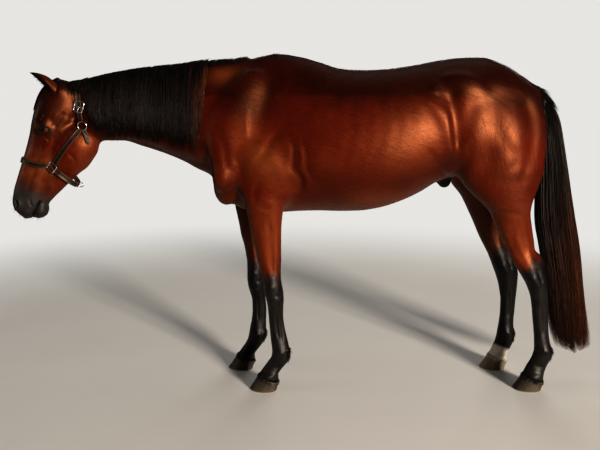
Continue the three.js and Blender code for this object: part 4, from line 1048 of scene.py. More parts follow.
long_hair, n, shader = material("long hair", Specular_IOR_Level=0.5, Specular_Tint=(0.70, 0.60, 0.54, 1))
own = n.value("own")
grey = n.range(own, 0.90, 1.0, 0.0, 0.35)
red = n.times(n.value("red"), n.range(own, 0.25, 0.8, 0.35, 1.0))
hair_tone = n.mix(own, (0.0030, 0.0026, 0.0028), (0.0115, 0.0088, 0.0082))
hair_tone = n.mix(red, hair_tone, (0.150, 0.043, 0.015))
n.plug(n.mix(grey, hair_tone, (0.06, 0.056, 0.055)), shader["Base Color"])
n.plug(n.range(n.noise(n.here(), 40.0, 2.0), 0.3, 0.7, 0.34, 0.52), shader["Roughness"])
n.plug(n.bump(n.noise(n.here(), 500.0, 2.0), 0.0004), shader["Normal"])

# ---------------------------------------------------------------- markings of the coat, with painted shade and highlights


def rough(points, scale, seed=0.0):
    """A smooth wander between about -1 and 1, for ragged borders."""
    a, b, c = (points / scale + seed).T
    return (np.sin(a * 2.1 + 1.7 * np.sin(c * 1.3)) + np.sin(c * 2.7 + 1.9 * np.sin(b * 2.3))
            + np.sin(b * 3.1 + 1.1 * np.sin(a * 1.9))) / 2.4


TOP_ENDS = -1060, 1140
top_stations = np.linspace(*TOP_ENDS, 56)
TOPLINE = Curve(top_stations, [points[np.abs(points[:, 0] - x) < 22, 2].max() for x in top_stations])


def below_top(points):
    """How far each place is below the line of the back and the neck."""
    return TOPLINE(np.clip(points[:, 0], *TOP_ENDS)) - points[:, 2]


def markings_and_painted_light(points, normals):
    """Where the coat is maroon, golden, slate grey, jet and white, from places on the body, with painted
    shade and painted highlights in the same amounts.
    """
    x, y, z = points.T
    down, front = head_frame(points)
    wander = rough(points, 34)
    head = smooth(14, 0, HEAD.field(points))
    up = normals[:, 2]
    below_ridge = below_top(points)
    deep = 0.30 + 0.16 * rough(points, 150, 3)
    # painted shade: darker towards the line of the back, partly the coat's own dark topline, and more again
    # where the skin faces up
    deep += 0.60 * smooth(230, 20, below_ridge + 25 * wander) + 0.3 * smooth(0.3, 0.9, up)
    deep += 0.55 * smooth(-360, -620, x) * (1 - head)
    # painted shade on faces that look down, and low near the mid-plane between the legs
    deep += 0.45 * smooth(0.1, -0.7, up) + 0.35 * smooth(90, 30, np.abs(y)) * smooth(1150, 1000, z)
    # painted shade in the fold of the flank
    deep += 0.30 * hill((x - 660) / 46) * smooth(1000, 1100, z)
    # painted shade over the croup and the upper thigh
    deep += (0.7 * smooth(740, 840, x) * smooth(1310, 1400, z)
             + 0.3 * smooth(700, 800, x) * smooth(1140, 1260, z))
    # painted shade on the highest parts; lighter towards the legs
    deep += 0.35 * smooth(1370, 1400, z) - 0.35 * smooth(900, 800, z)
    # painted highlights over the triceps and the flank: lighter and more golden there
    triceps_highlight = hill((x + 160 + 0.35 * (z - 1105)) / 92, (z - 1100) / 100)
    flank_highlight = hill((x - 470) / 115, (z - 1150) / 95)
    deep -= 0.8 * triceps_highlight + 0.2 * flank_highlight
    # painted shade high on the shoulder
    deep += 0.9 * hill((x + 210) / 120, (z - 1350) / 90)
    behind_mane = hill((x + 345) / 70, (below_ridge - 70) / 42)
    deep -= 0.9 * behind_mane
    # near black along the top where the skin faces up: partly the coat's own dark topline, partly painted
    # shade
    black = smooth(58, 0, below_ridge + 16 * wander) * smooth(0.1, 0.7, up) * 0.85
    black = np.maximum(black, smooth(1085, 1135, x) * smooth(1300, 1345, z))
    shadowed = hill((x + 215) / 110, (z - 1355) / 80)
    over_rump = 75 * smooth(740, 860, x)
    shadowed = np.maximum(
        shadowed, 0.8 * smooth(235, 120, below_ridge - over_rump + 20 * wander) * smooth(-60, 60, x))
    black = np.maximum(black, 0.38 * shadowed)
    fore, hind = (x < GIRTH) & (z < LEG_TOP), (x >= GIRTH) & (z < LEG_TOP)
    streaks = rough(points * [1.0, 1.0, 0.12], 9, 2)
    knee = 520 + 0.16 * np.abs(x + 150) + 14 * wander + 20 * streaks
    inner = smooth(118, 95, np.abs(y)) * 60
    black = np.maximum(black, np.where(fore, smooth(knee + 92 + inner, knee - 30, z), 0))
    hock_front = np.where(y < 0, 1040, 960)
    hock = 566 + 0.75 * np.clip(x - hock_front, -40, 110) + 16 * wander + 20 * streaks
    black = np.maximum(black, np.where(hind, smooth(hock + 96 + inner, hock - 24, z), 0))
    # painted shade on the inner faces of the far legs
    far_inside_shade = (y > 0) & (normals[:, 1] < 0) & (z < 960)
    deep += np.where(far_inside_shade, 0.7, 0)
    black = np.maximum(black, np.where(far_inside_shade, 0.55 * smooth(980, 820, z), 0))
    rear_edge = hill((x - np.where(x < GIRTH, -75, 1120)) / 30)
    black = np.maximum(black, np.where(hind | fore, rear_edge * smooth(760, 600, z) * 0.6, 0))
    slate = smooth(600, 500, z)
    # painted highlight: less black where the near lower legs face sideways, so that slate shows there
    black *= (1 - 0.45 * smooth(0.2, 1, np.abs(normals[:, 1])) * (0.6 + 0.4 * wander)
              * smooth(540, 440, z) * (y < 0))
    gold = 0.10 * smooth(0.1, 0.9, rough(points, 95, 8)) * smooth(200, 330, below_ridge) * (z > 900)
    gold = gold * (1 - head)
    sheath = smooth(75, 45, np.linalg.norm(points - [SHEATH_X, 0, 985], axis=1))
    black = np.maximum(black, sheath)
    belly_gold = hill((z - 905) / 60) * smooth(150, 300, x) * smooth(760, 600, x)
    upper_leg = 0.22 * smooth(560, 660, z) * smooth(960, 860, z) * (np.abs(y) > 60)
    gold = np.maximum.reduce(
        [gold, 0.35 * belly_gold, 0.55 * behind_mane, 0.70 * triceps_highlight, 0.3 * flank_highlight, upper_leg])
    # the head: painted shade on the forehead and the front of the face, red cheek, golden lower face, slate
    # muzzle
    face_wander = rough(points, 20, 5)
    head_deep_and_shade = 0.45 + 0.2 * face_wander
    # painted shade over the upper face and the forehead
    head_deep_and_shade += 0.65 * smooth(290, 190, down - 0.3 * front + 14 * face_wander)
    head_deep_and_shade -= 0.25 * smooth(-60, -120, front) * smooth(120, 200, down)
    head_gold = 0.75 * smooth(290, 350, down) * smooth(540, 460, down) * smooth(-120, -50, front)
    head_gold *= 0.6 + 0.4 * face_wander
    head_gold += 0.3 * smooth(-130, -180, front) * smooth(150, 230, down)
    muzzle = smooth(452, 575, down + 0.10 * front + 14 * face_wander)
    around_eye = nearest(points, EYES.values())
    # dark round the eye: partly its own dark skin, partly painted shade
    eye_dark = smooth(48, 26, around_eye + 5 * face_wander)
    crown = smooth(70, 10, down) * smooth(-90, -20, front)
    # painted shade on the brow
    brow_shade = smooth(-5, 70, front + 8 * face_wander) * smooth(330, 200, down)
    lips = smooth(12, 4, along_path(seen_on_head(points), MOUTH_LINE)[0]) * (down > 556)
    # the brow and the front of the face are painted shade; lips, nostrils, crown and lower muzzle are black
    # in their own right; round the eye partly both
    head_black_and_shade = np.maximum.reduce([
        0.75 * eye_dark, 0.7 * crown, 0.6 * brow_shade, 0.6 * smooth(50, 90, front) * smooth(460, 300, down),
        0.8 * lips, smooth(26, 17, nearest(points, NOSTRILS.values())), 0.55 * smooth(570, 640, down)])
    deep = deep * (1 - head) + head_deep_and_shade * head
    gold = gold + head_gold * head * (1 - muzzle)
    slate = slate + muzzle * head
    black = black * (1 - head) + head_black_and_shade * head
    bare = head * np.maximum(muzzle * 0.75, smooth(31, 27, around_eye)) + sheath * 0.9
    # one white pastern, on the right hind foot
    white = (y > 60) & (x > 820) & (z < 200)
    white = np.where(white, smooth(146, 126, z + 0.25 * (x - 920) + 9 * wander), 0)
    return {key: np.clip(value, 0, 1) for key, value in
            dict(deep=deep, gold=gold, slate=slate, black=black, white=white, bare=bare).items()}

# ---------------------------------------------------------------- the lie of the hair


SLANT, STEEP, DOWNWARD = unit([0.93, 0, -0.36]), unit([0.25, 0, -0.97]), np.array([0, 0, -1.0])


def lie_of(points):
    """Direction in which the hair lies, and a place measured along it for the streaks of the coat."""
    x, z = points[:, 0], points[:, 2]
    head = smooth(30, 4, HEAD.field(points))[:, None]
    low = smooth(960, 820, z)[:, None] * (1 - head)
    fore, hind = low * (x < GIRTH)[:, None], low * (x >= GIRTH)[:, None]
    thigh = (smooth(640, 900, x) * smooth(1440, 1150, z))[:, None] * (1 - low)
    neck = smooth(-330, -480, x)[:, None] * (1 - head)
    way = SLANT * (1 - neck) + np.array([0.80, 0, -0.60]) * neck
    way = way * (1 - thigh) + STEEP * thigh
    way = way * (1 - low) + DOWNWARD * low
    way = unit(way * (1 - head) + ALONG_3 * head)

    def measured(axis, places):
        return np.stack([places @ axis, places @ np.array([-axis[2], 0, axis[0]]), places[:, 1]], 1)

    # every region measures from a pivot on its own border, where it agrees with its neighbour
    place = measured(SLANT, points) * (1 - head - low - thigh)
    for axis, share, pivot in ((STEEP, thigh, (770, 0, 1300)), (DOWNWARD, fore, (-200, 0, 890)),
                               (DOWNWARD, hind, (930, 0, 890)), (ALONG_3, head, (-985, 0, 1300))):
        pivot = np.array([pivot], float)
        place += (measured(axis, points - pivot) + measured(SLANT, pivot)) * share
    return way, place * MM

# ---------------------------------------------------------------- finishing the skin


def leaf_ear(side, base, tip):
    """A cupped leaf with a rim, hollow in front, its base sunk in the head."""
    start = in_head(base[0], base[1], side * base[2])
    axis = in_head(tip[0], tip[1], side * tip[2]) - start
    length = np.linalg.norm(axis)
    axis = axis / length
    across = unit(np.array([0, 1.0, 0]) - axis * axis[1])
    opening = np.cross(axis, across)
    opening = -opening if opening[2] > 0 else opening
    turn = 0.5 * side
    towards = opening * math.cos(turn) + across * math.sin(turn)
    beside = across * math.cos(turn) - opening * math.sin(turn)
    leaf = Curve([-0.22, -0.1, 0, 0.2, 0.45, 0.75, 0.93, 1], [20, 23.5, 25.5, 28, 28, 19.5, 8.5, 1.2])
    wrap = Curve([-0.22, 0, 0.3, 1], [2.8, 2.6, 2.05, 1.35])
    rows, columns = 30, 24
    us = np.concatenate([[-0.22, -0.1], np.linspace(0, 1, rows - 2) ** 0.92])
    ring = []
    for u in us:
        radius, open_by = float(leaf(u)), float(wrap(u))
        thick = 3.4 * min(1, radius / 10) * (1 - 0.35 * u)
        across_outer = np.linspace(-open_by, open_by, columns)
        outer = [(angle, radius - 0.6) for angle in across_outer]
        inner = [(angle * 0.985, radius - 0.6 - thick) for angle in across_outer[::-1]]
        centre = start + axis * (u * length) - towards * 6 * math.sin(math.pi * np.clip(u, 0, 1))
        lean = 1 + 0.10 * math.sin(3.1 * u + side)
        ring.append([centre - towards * r * math.cos(angle) + beside * r * lean * math.sin(angle)
                     for angle, r in outer + inner])
    ring = np.array(ring)
    groups = tube(len(us), ring.shape[1])
    points = np.vstack([ring.reshape(-1, 3), ring[0].mean(0), ring[-1].mean(0) + axis * 0.4])
    corners = points[groups[0]]
    flow = np.cross(corners[:, 1] - corners[:, 0], corners[:, 3] - corners[:, 0])
    outward = corners.mean(1) - (start + axis * length * 0.4)
    if (flow * outward).sum() < 0:
        groups = turned_over(groups)
    level = np.r_[np.repeat(us, 2 * columns), us[0], us[-1]]
    is_inner = np.r_[np.tile(np.arange(2 * columns) >= columns, len(us)), True, False]
    across_share = np.abs(np.linspace(-1, 1, columns))
    rim = np.r_[np.tile(np.r_[across_share, across_share[::-1]], len(us)), 0, 1]
    return points, groups, level, is_inner, rim


normals_now = unit(slope_of(flesh_field, points))
marks = markings_and_painted_light(points, normals_now)
way, lie_place = lie_of(points)
net.verts.index_update()
face_list = [[vert.index for vert in face.verts] for face in net.faces]
net.free()
faces_4 = np.array([face for face in face_list if len(face) == 4])
faces_3 = [face for face in face_list if len(face) == 3]
for face in face_list:
    if len(face) > 4:
        faces_3 += [[face[0], face[i], face[i + 1]] for i in range(1, len(face) - 1)]
faces_3 = np.array(faces_3)
all_points, all_lie, all_faces = [points], [lie_place], [[faces_4, faces_3]]
all_marks = {key: [value] for key, value in marks.items()}
EARS = {LEFT: ((44, 18, 50), (-1, 156, 70)), RIGHT: ((46, 18, 50), (28, 152, 62))}
ear_parts = {}
for side, (base, tip) in EARS.items():
    ear_points, groups, level, is_inner, rim = leaf_ear(side, base, tip)
    start = sum(len(group) for group in all_points)
    all_faces.append([group + start for group in groups])
    all_points.append(ear_points)
    axis = unit(in_head(*tip[:2], side * tip[2]) - in_head(*base[:2], side * base[2]))
    across = unit(np.cross(axis, [0, 1, 0]))
    all_lie.append(np.stack([ear_points @ axis, ear_points @ across, ear_points[:, 1]], 1) * MM)
    edge = 0.8 * smooth(0.80, 1.0, rim)
    none = np.zeros(len(level))
    fresh = dict(deep=none + 0.75, gold=np.where(is_inner, 0, 0.12 * smooth(0.9, 0.3, level)),
                 black=np.maximum.reduce([smooth(0.62, 0.92, level), edge, np.where(is_inner, 0.75, 0.12)]),
                 slate=none, white=none, bare=np.where(is_inner, 0.4, 0))
    for key in all_marks:
        all_marks[key].append(fresh[key])
    ear_parts[side] = (ear_points, start, level, is_inner, rim, axis)
skin_marks = {key: np.concatenate(value) for key, value in all_marks.items()}
skin = flat_mesh("skin", np.vstack(all_points), [np.vstack(groups) for groups in zip(*all_faces)],
                 {**skin_marks, "lie": np.vstack(all_lie)})
place_piece(skin, coat_skin, "bay_coat", "trunk", "neck", "head", "ear_left", "ear_right", "leg_fore_left",
            "leg_fore_right", "leg_hind_left", "leg_hind_right", "sheath", "tail_dock")

# ---------------------------------------------------------------- an unwrap of the skin for its hair

# the middle of the body's roll from nose to tail: its height, and its share of the chart
SPINE = Curve([-1400, -1250, -1085, -700, -300, 100, 500, 900, 1240],
              [[900, 0.0], [1150, 0.10], [1330, 0.2], [1330, 0.40], [1180, 0.54], [1190, 0.66],
               [1215, 0.78], [1265, 0.91], [1230, 1.0]])


SPINE_ENDS = -1400, 1240
PATCH = 0.003   # how much of the chart one hair takes up


def unwrap(points):
    """A flat chart of the body's own shape: head and trunk as one roll, each leg as another."""
    x, y, z = points.T
    down, front = head_frame(points)
    axis_z, along = SPINE(np.clip(x, *SPINE_ENDS)).T
    head = smooth(10, 0, HEAD.field(points)) > 0.5
    along = np.where(head, 0.19 * (1 - np.clip(down / 690, -0.1, 1)) + 0.01,
                     0.22 + 0.78 * np.clip((along - 0.2) / 0.8, 0, 1))
    turn = np.where(head, np.arctan2(y, front + 10), np.arctan2(y, z - axis_z))
    uv = np.stack([0.01 + 0.97 * along, 0.02 + 0.60 * (turn / (2 * math.pi) + 0.5)], 1)
    for k, loft in enumerate(LEGS.values()):
        middle = loft.section(np.clip(z, *loft.ends))[:, :2].mean(1)
        mine = (z < 930) & (y * loft.side > 20) & (np.abs(x - middle) < 190)
        angle = np.arctan2(y - loft.side * LEG_OUT, x - middle)
        across = 0.64 + 0.088 * k + 0.08 * (angle / (2 * math.pi) + 0.5)
        uv[mine] = np.stack([0.01 + 0.97 * z / 930, across], 1)[mine]
    return uv

# ---------------------------------------------------------------- tufts and strands


def tuft_mesh(name, roots, normals, ways, lengths, widths, lifts, values):
    """Closed slivers that lie along the coat: a broad root, a low ridge, and a tip."""
    across = np.cross(ways, normals)
    half, length = (widths / 2)[:, None], lengths[:, None]
    sunk = roots - normals * 0.5
    corners = np.stack([sunk - across * half, sunk + across * half,
                        roots + normals * (0.16 * half + 0.15) + ways * length * 0.18,
                        roots + ways * length + normals * lifts[:, None]], 1)
    count = len(roots)
    index = 4 * np.arange(count)[:, None]
    faces = np.concatenate([index + np.array(face) for face in ((0, 2, 3), (2, 1, 3), (0, 3, 1), (0, 1, 2))])
    uv = np.repeat(unwrap(roots), 4, axis=0)
    uv += np.tile(np.array([[-0.5, -0.5], [-0.5, 0.5], [0, 0], [0.5, 0]]) * PATCH, (count, 1))
    item = flat_mesh(name, corners.reshape(-1, 3), [faces],
                     {key: np.repeat(value, 4) for key, value in values.items()}, uv)
    # each tuft shines nearly as the skin under it does, so that it doesn't stand out as a dark fleck
    sheen = unit(normals + ways * random.normal(0, 0.14, (count, 1))
                 + across * random.normal(0, 0.14, (count, 1)))
    item.data.normals_split_custom_set_from_vertices(np.repeat(sheen, 4, axis=0).tolist())
    place_piece(item, tuft_hair, "bay_coat")


STRAND_SIDES, STRAND_FLAT = 3, 0.55


def strand_mesh(name, paths, widths, outward, values, hair=long_hair, slot="black_hair"):
    """Closed three-sided strands along paths, each one tapering to its tip."""
    (count, rings), sides = paths.shape[:2], STRAND_SIDES
    forward = unit(np.gradient(paths, axis=1))
    beside = unit(np.cross(forward, outward))
    up = np.cross(beside, forward)
    angles = 2 * math.pi * (np.arange(sides) + 0.25) / sides
    ring = (beside[:, :, None] * np.cos(angles)[:, None]
            + up[:, :, None] * (STRAND_FLAT * np.sin(angles))[:, None])
    points = paths[:, :, None] + ring * widths[:, :, None, None] / 2
    index = np.arange(count * rings * sides).reshape(count, rings, sides)
    turned = np.roll(index, -1, 2)
    quads = np.stack([index[:, :-1], turned[:, :-1], turned[:, 1:], index[:, 1:]], -1).reshape(-1, 4)
    groups = [quads, np.concatenate([index[:, 0, ::-1], index[:, -1]])]
    groups = facing_out(points.reshape(-1, 3), groups, paths[0, :2].mean(0))
    uv = unwrap(paths[:, 0])[:, None, None] + np.stack(np.meshgrid(
        np.linspace(-0.5, 0.5, rings) * PATCH, np.linspace(-0.5, 0.5, sides) * PATCH, indexing="ij"), -1)
    spread = {key: np.repeat(value, rings * sides) for key, value in values.items()}
    spread["length"] = np.tile(np.repeat(np.linspace(0, 1, rings), sides), count)
    if "reach" in values:
        spread["red"] = spread["red"] * smooth(0, 1, (spread["length"] - spread.pop("reach")) / 0.3)
    place_piece(flat_mesh(name, points.reshape(-1, 3), groups, spread, uv.reshape(-1, 2)), hair, slot)


SEED = 1809
random = np.random.default_rng(SEED)
skin_tris = np.vstack([faces_4[:, [0, 1, 2]], faces_4[:, [0, 2, 3]], faces_3])
corner = points[skin_tris]
spot_normal = np.cross(corner[:, 1] - corner[:, 0], corner[:, 2] - corner[:, 0])
tri_area = np.linalg.norm(spot_normal, axis=1) / 2
skin_normals = np.zeros_like(points)
for k in range(3):
    np.add.at(skin_normals, skin_tris[:, k], spot_normal)
skin_normals = unit(skin_normals)
middle = corner.mean(1)
at_eye_or_nostril = near_any(middle, EYES.values(), 30) | near_any(middle, NOSTRILS.values(), 25)
bald = (middle[:, 2] < 30) | at_eye_or_nostril | (skin_marks["bare"][skin_tris[:, 0]] > 0.85)


def scatter(count, density):
    """Places on the skin, thick where the density is high, with all that is known about them."""
    chance = np.cumsum(tri_area * np.where(bald, 0, density))
    pick = np.searchsorted(chance, random.random(count) * chance[-1])
    share = random.random((count, 2))
    fold = share.sum(1) > 1
    share[fold] = 1 - share[fold]
    share = np.concatenate([1 - share.sum(1, keepdims=True), share], 1)[:, :, None]
    corners = skin_tris[pick]

    def blended(values):
        return (values[corners] * share).sum(1)

    values = {key: skin_marks[key][corners].mean(1) for key in MARKS}
    return blended(points), unit(blended(skin_normals)), unit(blended(way)), values


def comb(ways, normals, spread):
    """Ways laid flat on the skin, each turned a little by chance."""
    flat = unit(ways - normals * (ways * normals).sum(1, keepdims=True))
    turn = random.normal(0, spread, len(ways))[:, None]
    return unit(flat * np.cos(turn) + np.cross(normals, flat) * np.sin(turn))


at_head = HEAD.field(middle) < 4
tri_down, tri_front = head_frame(middle)
size_of = np.where(at_head, 0.45, np.where(middle[:, 2] < 560, 0.55, 1.0))
tuft_density = 1 / size_of ** 1.4
TUFTS = 46000
for part in (1, 2):
    roots, root_normals, ways, values = scatter(TUFTS, tuft_density)
    on_head, height = HEAD.field(roots) < 4, roots[:, 2]
    small = np.where(on_head, 0.42, np.where(height < 150, 0.45, np.where(height < 560, 0.6, 1.0)))
    small *= np.where(on_head & (head_frame(roots)[0] > 480), 0.6, 1)
    lengths = random.uniform(9, 17, TUFTS) * small
    widths = random.uniform(1.1, 2.1, TUFTS) * (0.4 + 0.6 * small)
    lifts = random.uniform(-0.2, 0.9, TUFTS) * small
    values["own"] = random.random(TUFTS)
    tuft_mesh("coat_tufts_%d" % part, roots, root_normals, comb(ways, root_normals, 0.13), lengths, widths,
              lifts, values)

# ---------------------------------------------------------------- mane, forelock and tail


def skin_from(starts, directions, reach=300):
    """Where rays from inside the body leave it."""
    starts, directions = np.broadcast_arrays(np.asarray(starts, float), np.asarray(directions, float))
    low, high = np.zeros(len(starts)), np.zeros(len(starts))
    live = np.ones(len(starts), bool)
    for _ in range(90):
        depth = BODY.field(starts[live] + directions[live] * high[live, None])
        out = depth >= 0
        index = np.flatnonzero(live)
        low[index[~out]] = high[index[~out]]
        high[index[~out]] += np.maximum(-depth[~out] * 0.8, 1.5)
        live[index[out]] = False
        live &= high < reach
        if not live.any():
            break
    for _ in range(16):
        middle = (low + high) / 2
        inside = BODY.field(starts + directions * middle[:, None]) < 0
        low, high = np.where(inside, middle, low), np.where(inside, high, middle)
    return starts + directions * low[:, None]


MANE_POLL, MANE_WITHERS, MANE_CLEAR = -1000, -424, 3.5
MANE_EDGE = Curve([-1000, -949, -892, -800, -709, -618, -527, -482, -456, -437, -424],
                  [1330, 1222, 1188, 1184, 1172, 1156, 1134, 1112, 1150, 1290, 1440])
MANE_COLUMNS, MANE_ROWS = 49, 19
stations = np.linspace(MANE_POLL, MANE_WITHERS, MANE_COLUMNS)
crest = skin_from(np.stack([stations, 0 * stations, 1400 + 0 * stations], 1), (0, 0, 1))[:, 2]
levels = crest[:, None] + (MANE_EDGE(stations) - crest)[:, None] * np.linspace(0, 1, MANE_ROWS)
grid = np.stack([np.repeat(stations, MANE_ROWS), np.zeros(levels.size), levels.ravel()], 1)
inside = BODY.field(grid) < -2
falls = np.zeros(len(grid))
falls[inside] = -skin_from(grid[inside], (0, -1, 0))[:, 1]
falls = np.maximum.accumulate(falls.reshape(MANE_COLUMNS, MANE_ROWS), axis=1)
CREST = Curve(stations, crest)


def fall_at(x, share):
    """How far the mane's inner side stands from the mid-plane."""
    last, lowest = MANE_COLUMNS - 1, MANE_ROWS - 1
    i = np.clip((x - MANE_POLL) / (MANE_WITHERS - MANE_POLL) * last, 0, last - 0.001)
    j = np.clip(share * lowest, 0, lowest - 0.001)
    a, b = i.astype(int), j.astype(int)
    u, v = i - a, j - b
    return ((falls[a, b] * (1 - u) + falls[a + 1, b] * u) * (1 - v)
            + (falls[a, b + 1] * (1 - u) + falls[a + 1, b + 1] * u) * v)


def grouped(count, locks, low, high, spread):
    """Strands gathered in locks: the place of each, its lock's place, and which lock."""
    centres = np.sort(random.uniform(low, high, locks))
    which = random.integers(0, locks, count)
    return np.clip(centres[which] + random.normal(0, spread, count), low, high), centres[which], which


def mane_paths(count, locks, layer_low, layer_high, short):
    """Strands of the mane: two places over the crest, and nine down the neck's left side."""
    root, centre, which = grouped(count, locks, MANE_POLL + 2, MANE_WITHERS - 3, 9)
    lock_lean, lock_out = random.normal(0, 10, locks)[which], random.random(locks)[which]
    lock_long = random.uniform(0.82, 1.0, locks)[which]
    long_share = np.where(random.random(count) < short, random.uniform(0.35, 0.8, count),
                          lock_long + random.uniform(-0.06, 0.035, count))
    hanging = (random.random(count) < 0.02) & (np.abs(root + 760) < 190)
    long_share = np.where(hanging, random.uniform(0.96, 1.06, count), long_share)
    layer = random.uniform(layer_low, layer_high, count)
    ends = np.clip(np.minimum((root - MANE_POLL) / 60, (MANE_WITHERS - root) / 40), 0, 1)
    swell = 0.35 + 0.65 * np.sqrt(ends)
    t = np.linspace(0, 1, 9)
    share = t[None] ** 1.15 * long_share[:, None]
    drift = (centre - root)[:, None] * 0.55 * share + lock_lean[:, None] * share ** 1.6
    wave = 1.6 * np.sin(share * random.uniform(3, 7, (count, 1)) + random.uniform(0, 6.3, (count, 1))) * share
    x = np.clip(root[:, None] + drift + wave, MANE_POLL - 3, MANE_WITHERS + 2)
    crest_z = CREST(x)
    z = crest_z + (MANE_EDGE(np.clip(x, MANE_POLL, MANE_WITHERS)) - crest_z) * share
    thick = 11.0 * swell[:, None] * (1 - 0.55 * share)
    out = (fall_at(x, share) + MANE_CLEAR + 0.6
           + thick * np.clip(layer + 0.25 * (lock_out - 0.5), 0, 1)[:, None])
    rise = (2.0 + 6.0 * layer * swell)[:, None]
    z = np.where(share < 0.03, crest_z + rise, z)
    y = -np.maximum(out, 4.0)
    y[:, 0] = -2 - 4 * layer
    first = np.stack([root, 9 - 7 * layer, CREST(root) - 2.5], 1)
    second = np.stack([root, 4 - 5 * layer, CREST(root) + rise[:, 0] * 0.9], 1)
    return np.concatenate([first[:, None], second[:, None], np.stack([x, y, z], 2)], 1)


def smoothed(paths, rounds=1):
    for _ in range(rounds):
        inner = (paths[:, :-2] + 2 * paths[:, 1:-1] + paths[:, 2:]) / 4
        paths = np.concatenate([paths[:, :1], inner, paths[:, -1:]], 1)
    return paths


def tapered(rings, root, thickest, tip):
    """Widths along strands: thin at the root, thickest soon after it, and a fine tip."""
    shape = np.interp(np.linspace(0, 1, rings), [0, 0.12, 0.65, 1], [root, 1, 0.85, tip])
    return thickest[:, None] * shape


def some_red(count, chance, amount, reach):
    """Each strand's own shade, and which few of them are red past their reach."""
    return {"own": random.random(count), "red": (random.random(count) < chance) * amount,
            "reach": np.full(count, reach)}


for name, count, locks, low, high, short, wide in (
        ("mane_under", 1150, 70, 0.0, 0.45, 0.1, (3.2, 6.0)),
        ("mane_over", 2300, 120, 0.4, 1.0, 0.3, (0.9, 2.4))):
    paths = smoothed(mane_paths(count, locks, low, high, short))
    widths = tapered(paths.shape[1], 0.7, random.uniform(*wide, count), 0.16)
    own = random.random(count)
    outward = np.zeros_like(paths)
    outward[:, :, 1] = -1
    outward[:, :3, 2] = 1.2
    rear = smooth(-520, -440, paths[:, 0, 0]) * 0.9
    red = np.maximum(rear, (random.random(count) < 0.05) * 0.35)
    strand_mesh(name, paths, widths, outward,
                {"own": own, "red": red, "reach": np.where(rear > 0.3, 0.35, 0.1)})
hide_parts("mane")

# The forelock lies down the forehead from between the ears.
count, rings = 620, 12
side_way = random.normal(0, 0.5, count).clip(-1, 1)
reach = np.where(random.random(count) < 0.3, random.uniform(0.45, 0.8, count),
                 random.uniform(0.8, 1.0, count))
t = np.linspace(0, 1, rings)
share = reach[:, None] * t
down = -6 + 174 * share
half = 27 - 15 * share
curl = 2.5 * np.sin(share * 5 + random.uniform(0, 6.3, (count, 1))) * share
sideways = -6 * share + side_way[:, None] * half * 0.93 + curl * 0.6
start_down = np.maximum(down, 20).ravel()
starts = POLL[0] + ALONG[0] * start_down, sideways.ravel(), POLL[1] + ALONG[1] * start_down
to_down = np.where(down < 20, down - 26, down).ravel()
towards = unit((to_down - start_down)[:, None] * ALONG_3 + 60 * FRONT_3)
skin_spots = skin_from(np.stack(starts, 1), towards)
lift = (2.6 + 10.5 * (1 - 0.5 * share) * (1 - 0.45 * side_way[:, None] ** 2)
        * random.random((count, 1))).ravel()
lift = np.where(np.tile(np.arange(rings) == 0, count), -2.0, lift)
paths = smoothed((skin_spots + towards * lift[:, None]).reshape(count, rings, 3))
strand_mesh("forelock_strands", paths, tapered(rings, 0.6, random.uniform(1.0, 2.4, count), 0.14),
            towards.reshape(count, rings, 3), some_red(count, 0.1, 0.5, 0.3))
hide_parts("forelock")

# The tail falls from the dock in locks: a full core, and fine strands round it.
TAIL = Curve([row[0] for row in TAIL_ROWS], [row[1:] for row in TAIL_ROWS])


def tail_paths(count, locks, inner, outer, short):
    """Strands from the dock to the tail's tip, the way out from each, and where round it they lie."""
    lock_angle, lock_r = random.uniform(0, 2 * math.pi, locks), random.uniform(inner, outer, locks)
    which = random.integers(0, locks, count)
    angle = lock_angle[which] + random.normal(0, 0.16, count)
    radius = np.clip(lock_r[which] + random.normal(0, 0.05, count), 0.02, outer)
    # hair of the dock's sides and top falls to the tail's outside; shorter hair stops on the way
    root = random.uniform(1372, 1424, count) - 12 * radius
    tip = np.where(random.random(count) < short, random.uniform(250, 800, count),
                   118 + 120 * random.random(count) ** 1.4 + 40 * radius)
    t = np.linspace(0, 1, 17)
    z = root[:, None] + (tip - root)[:, None] * t ** 0.92
    front, rear, half = np.moveaxis(TAIL(z), 2, 0)
    spread = smooth(0, 0.1, t)
    r = radius[:, None] * (0.45 + 0.55 * spread)
    phase = random.uniform(0, 6.3, (locks, 1))[which]
    beat = random.uniform(2.0, 4.5, (locks, 1))[which]
    sway = 0.055 * np.sin(beat * t * 3.1 + phase) * t + 0.012 * np.sin(9 * t + 7 * angle[:, None])
    gather = 1 - 0.05 * t ** 2
    x = (front + rear) / 2 + (rear - front) / 2 * 0.985 * (r * np.cos(angle)[:, None] * gather + sway * r)
    y = half * 0.985 * (r * np.sin(angle)[:, None] * gather + 0.7 * sway * r)
    outward = np.stack([np.cos(angle)[:, None] + 0 * x, np.sin(angle)[:, None] + 0 * x, 0 * x + 0.15], 2)
    return np.stack([x, y, z], 2), outward, angle


for name, count, locks, inner, outer, short, wide in (
        ("tail_core", 800, 60, 0.05, 0.78, 0.02, (6, 13)),
        ("tail_locks", 1750, 130, 0.70, 0.99, 0.16, (1.6, 4.4)),
        ("tail_strands", 1900, 420, 0.82, 1.0, 0.22, (0.7, 1.7))):
    paths, outward, angle = tail_paths(count, locks, inner, outer, short)
    widths = tapered(paths.shape[1], 0.5, random.uniform(*wide, count), 0.12)
    rear_side = smooth(-0.2, 0.9, np.cos(angle))
    red = np.clip(0.30 + 0.7 * rear_side + random.normal(0, 0.18, count), 0, 1)
    own = random.random(count)
    reach = np.clip(random.normal(0.42, 0.12, count), 0.1, 0.8) - 0.15 * rear_side
    strand_mesh(name, paths, widths, outward, {"own": own, "red": red, "reach": reach})
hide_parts("tail_hair")

# ---------------------------------------------------------------- fringes: where the coat breaks the outline


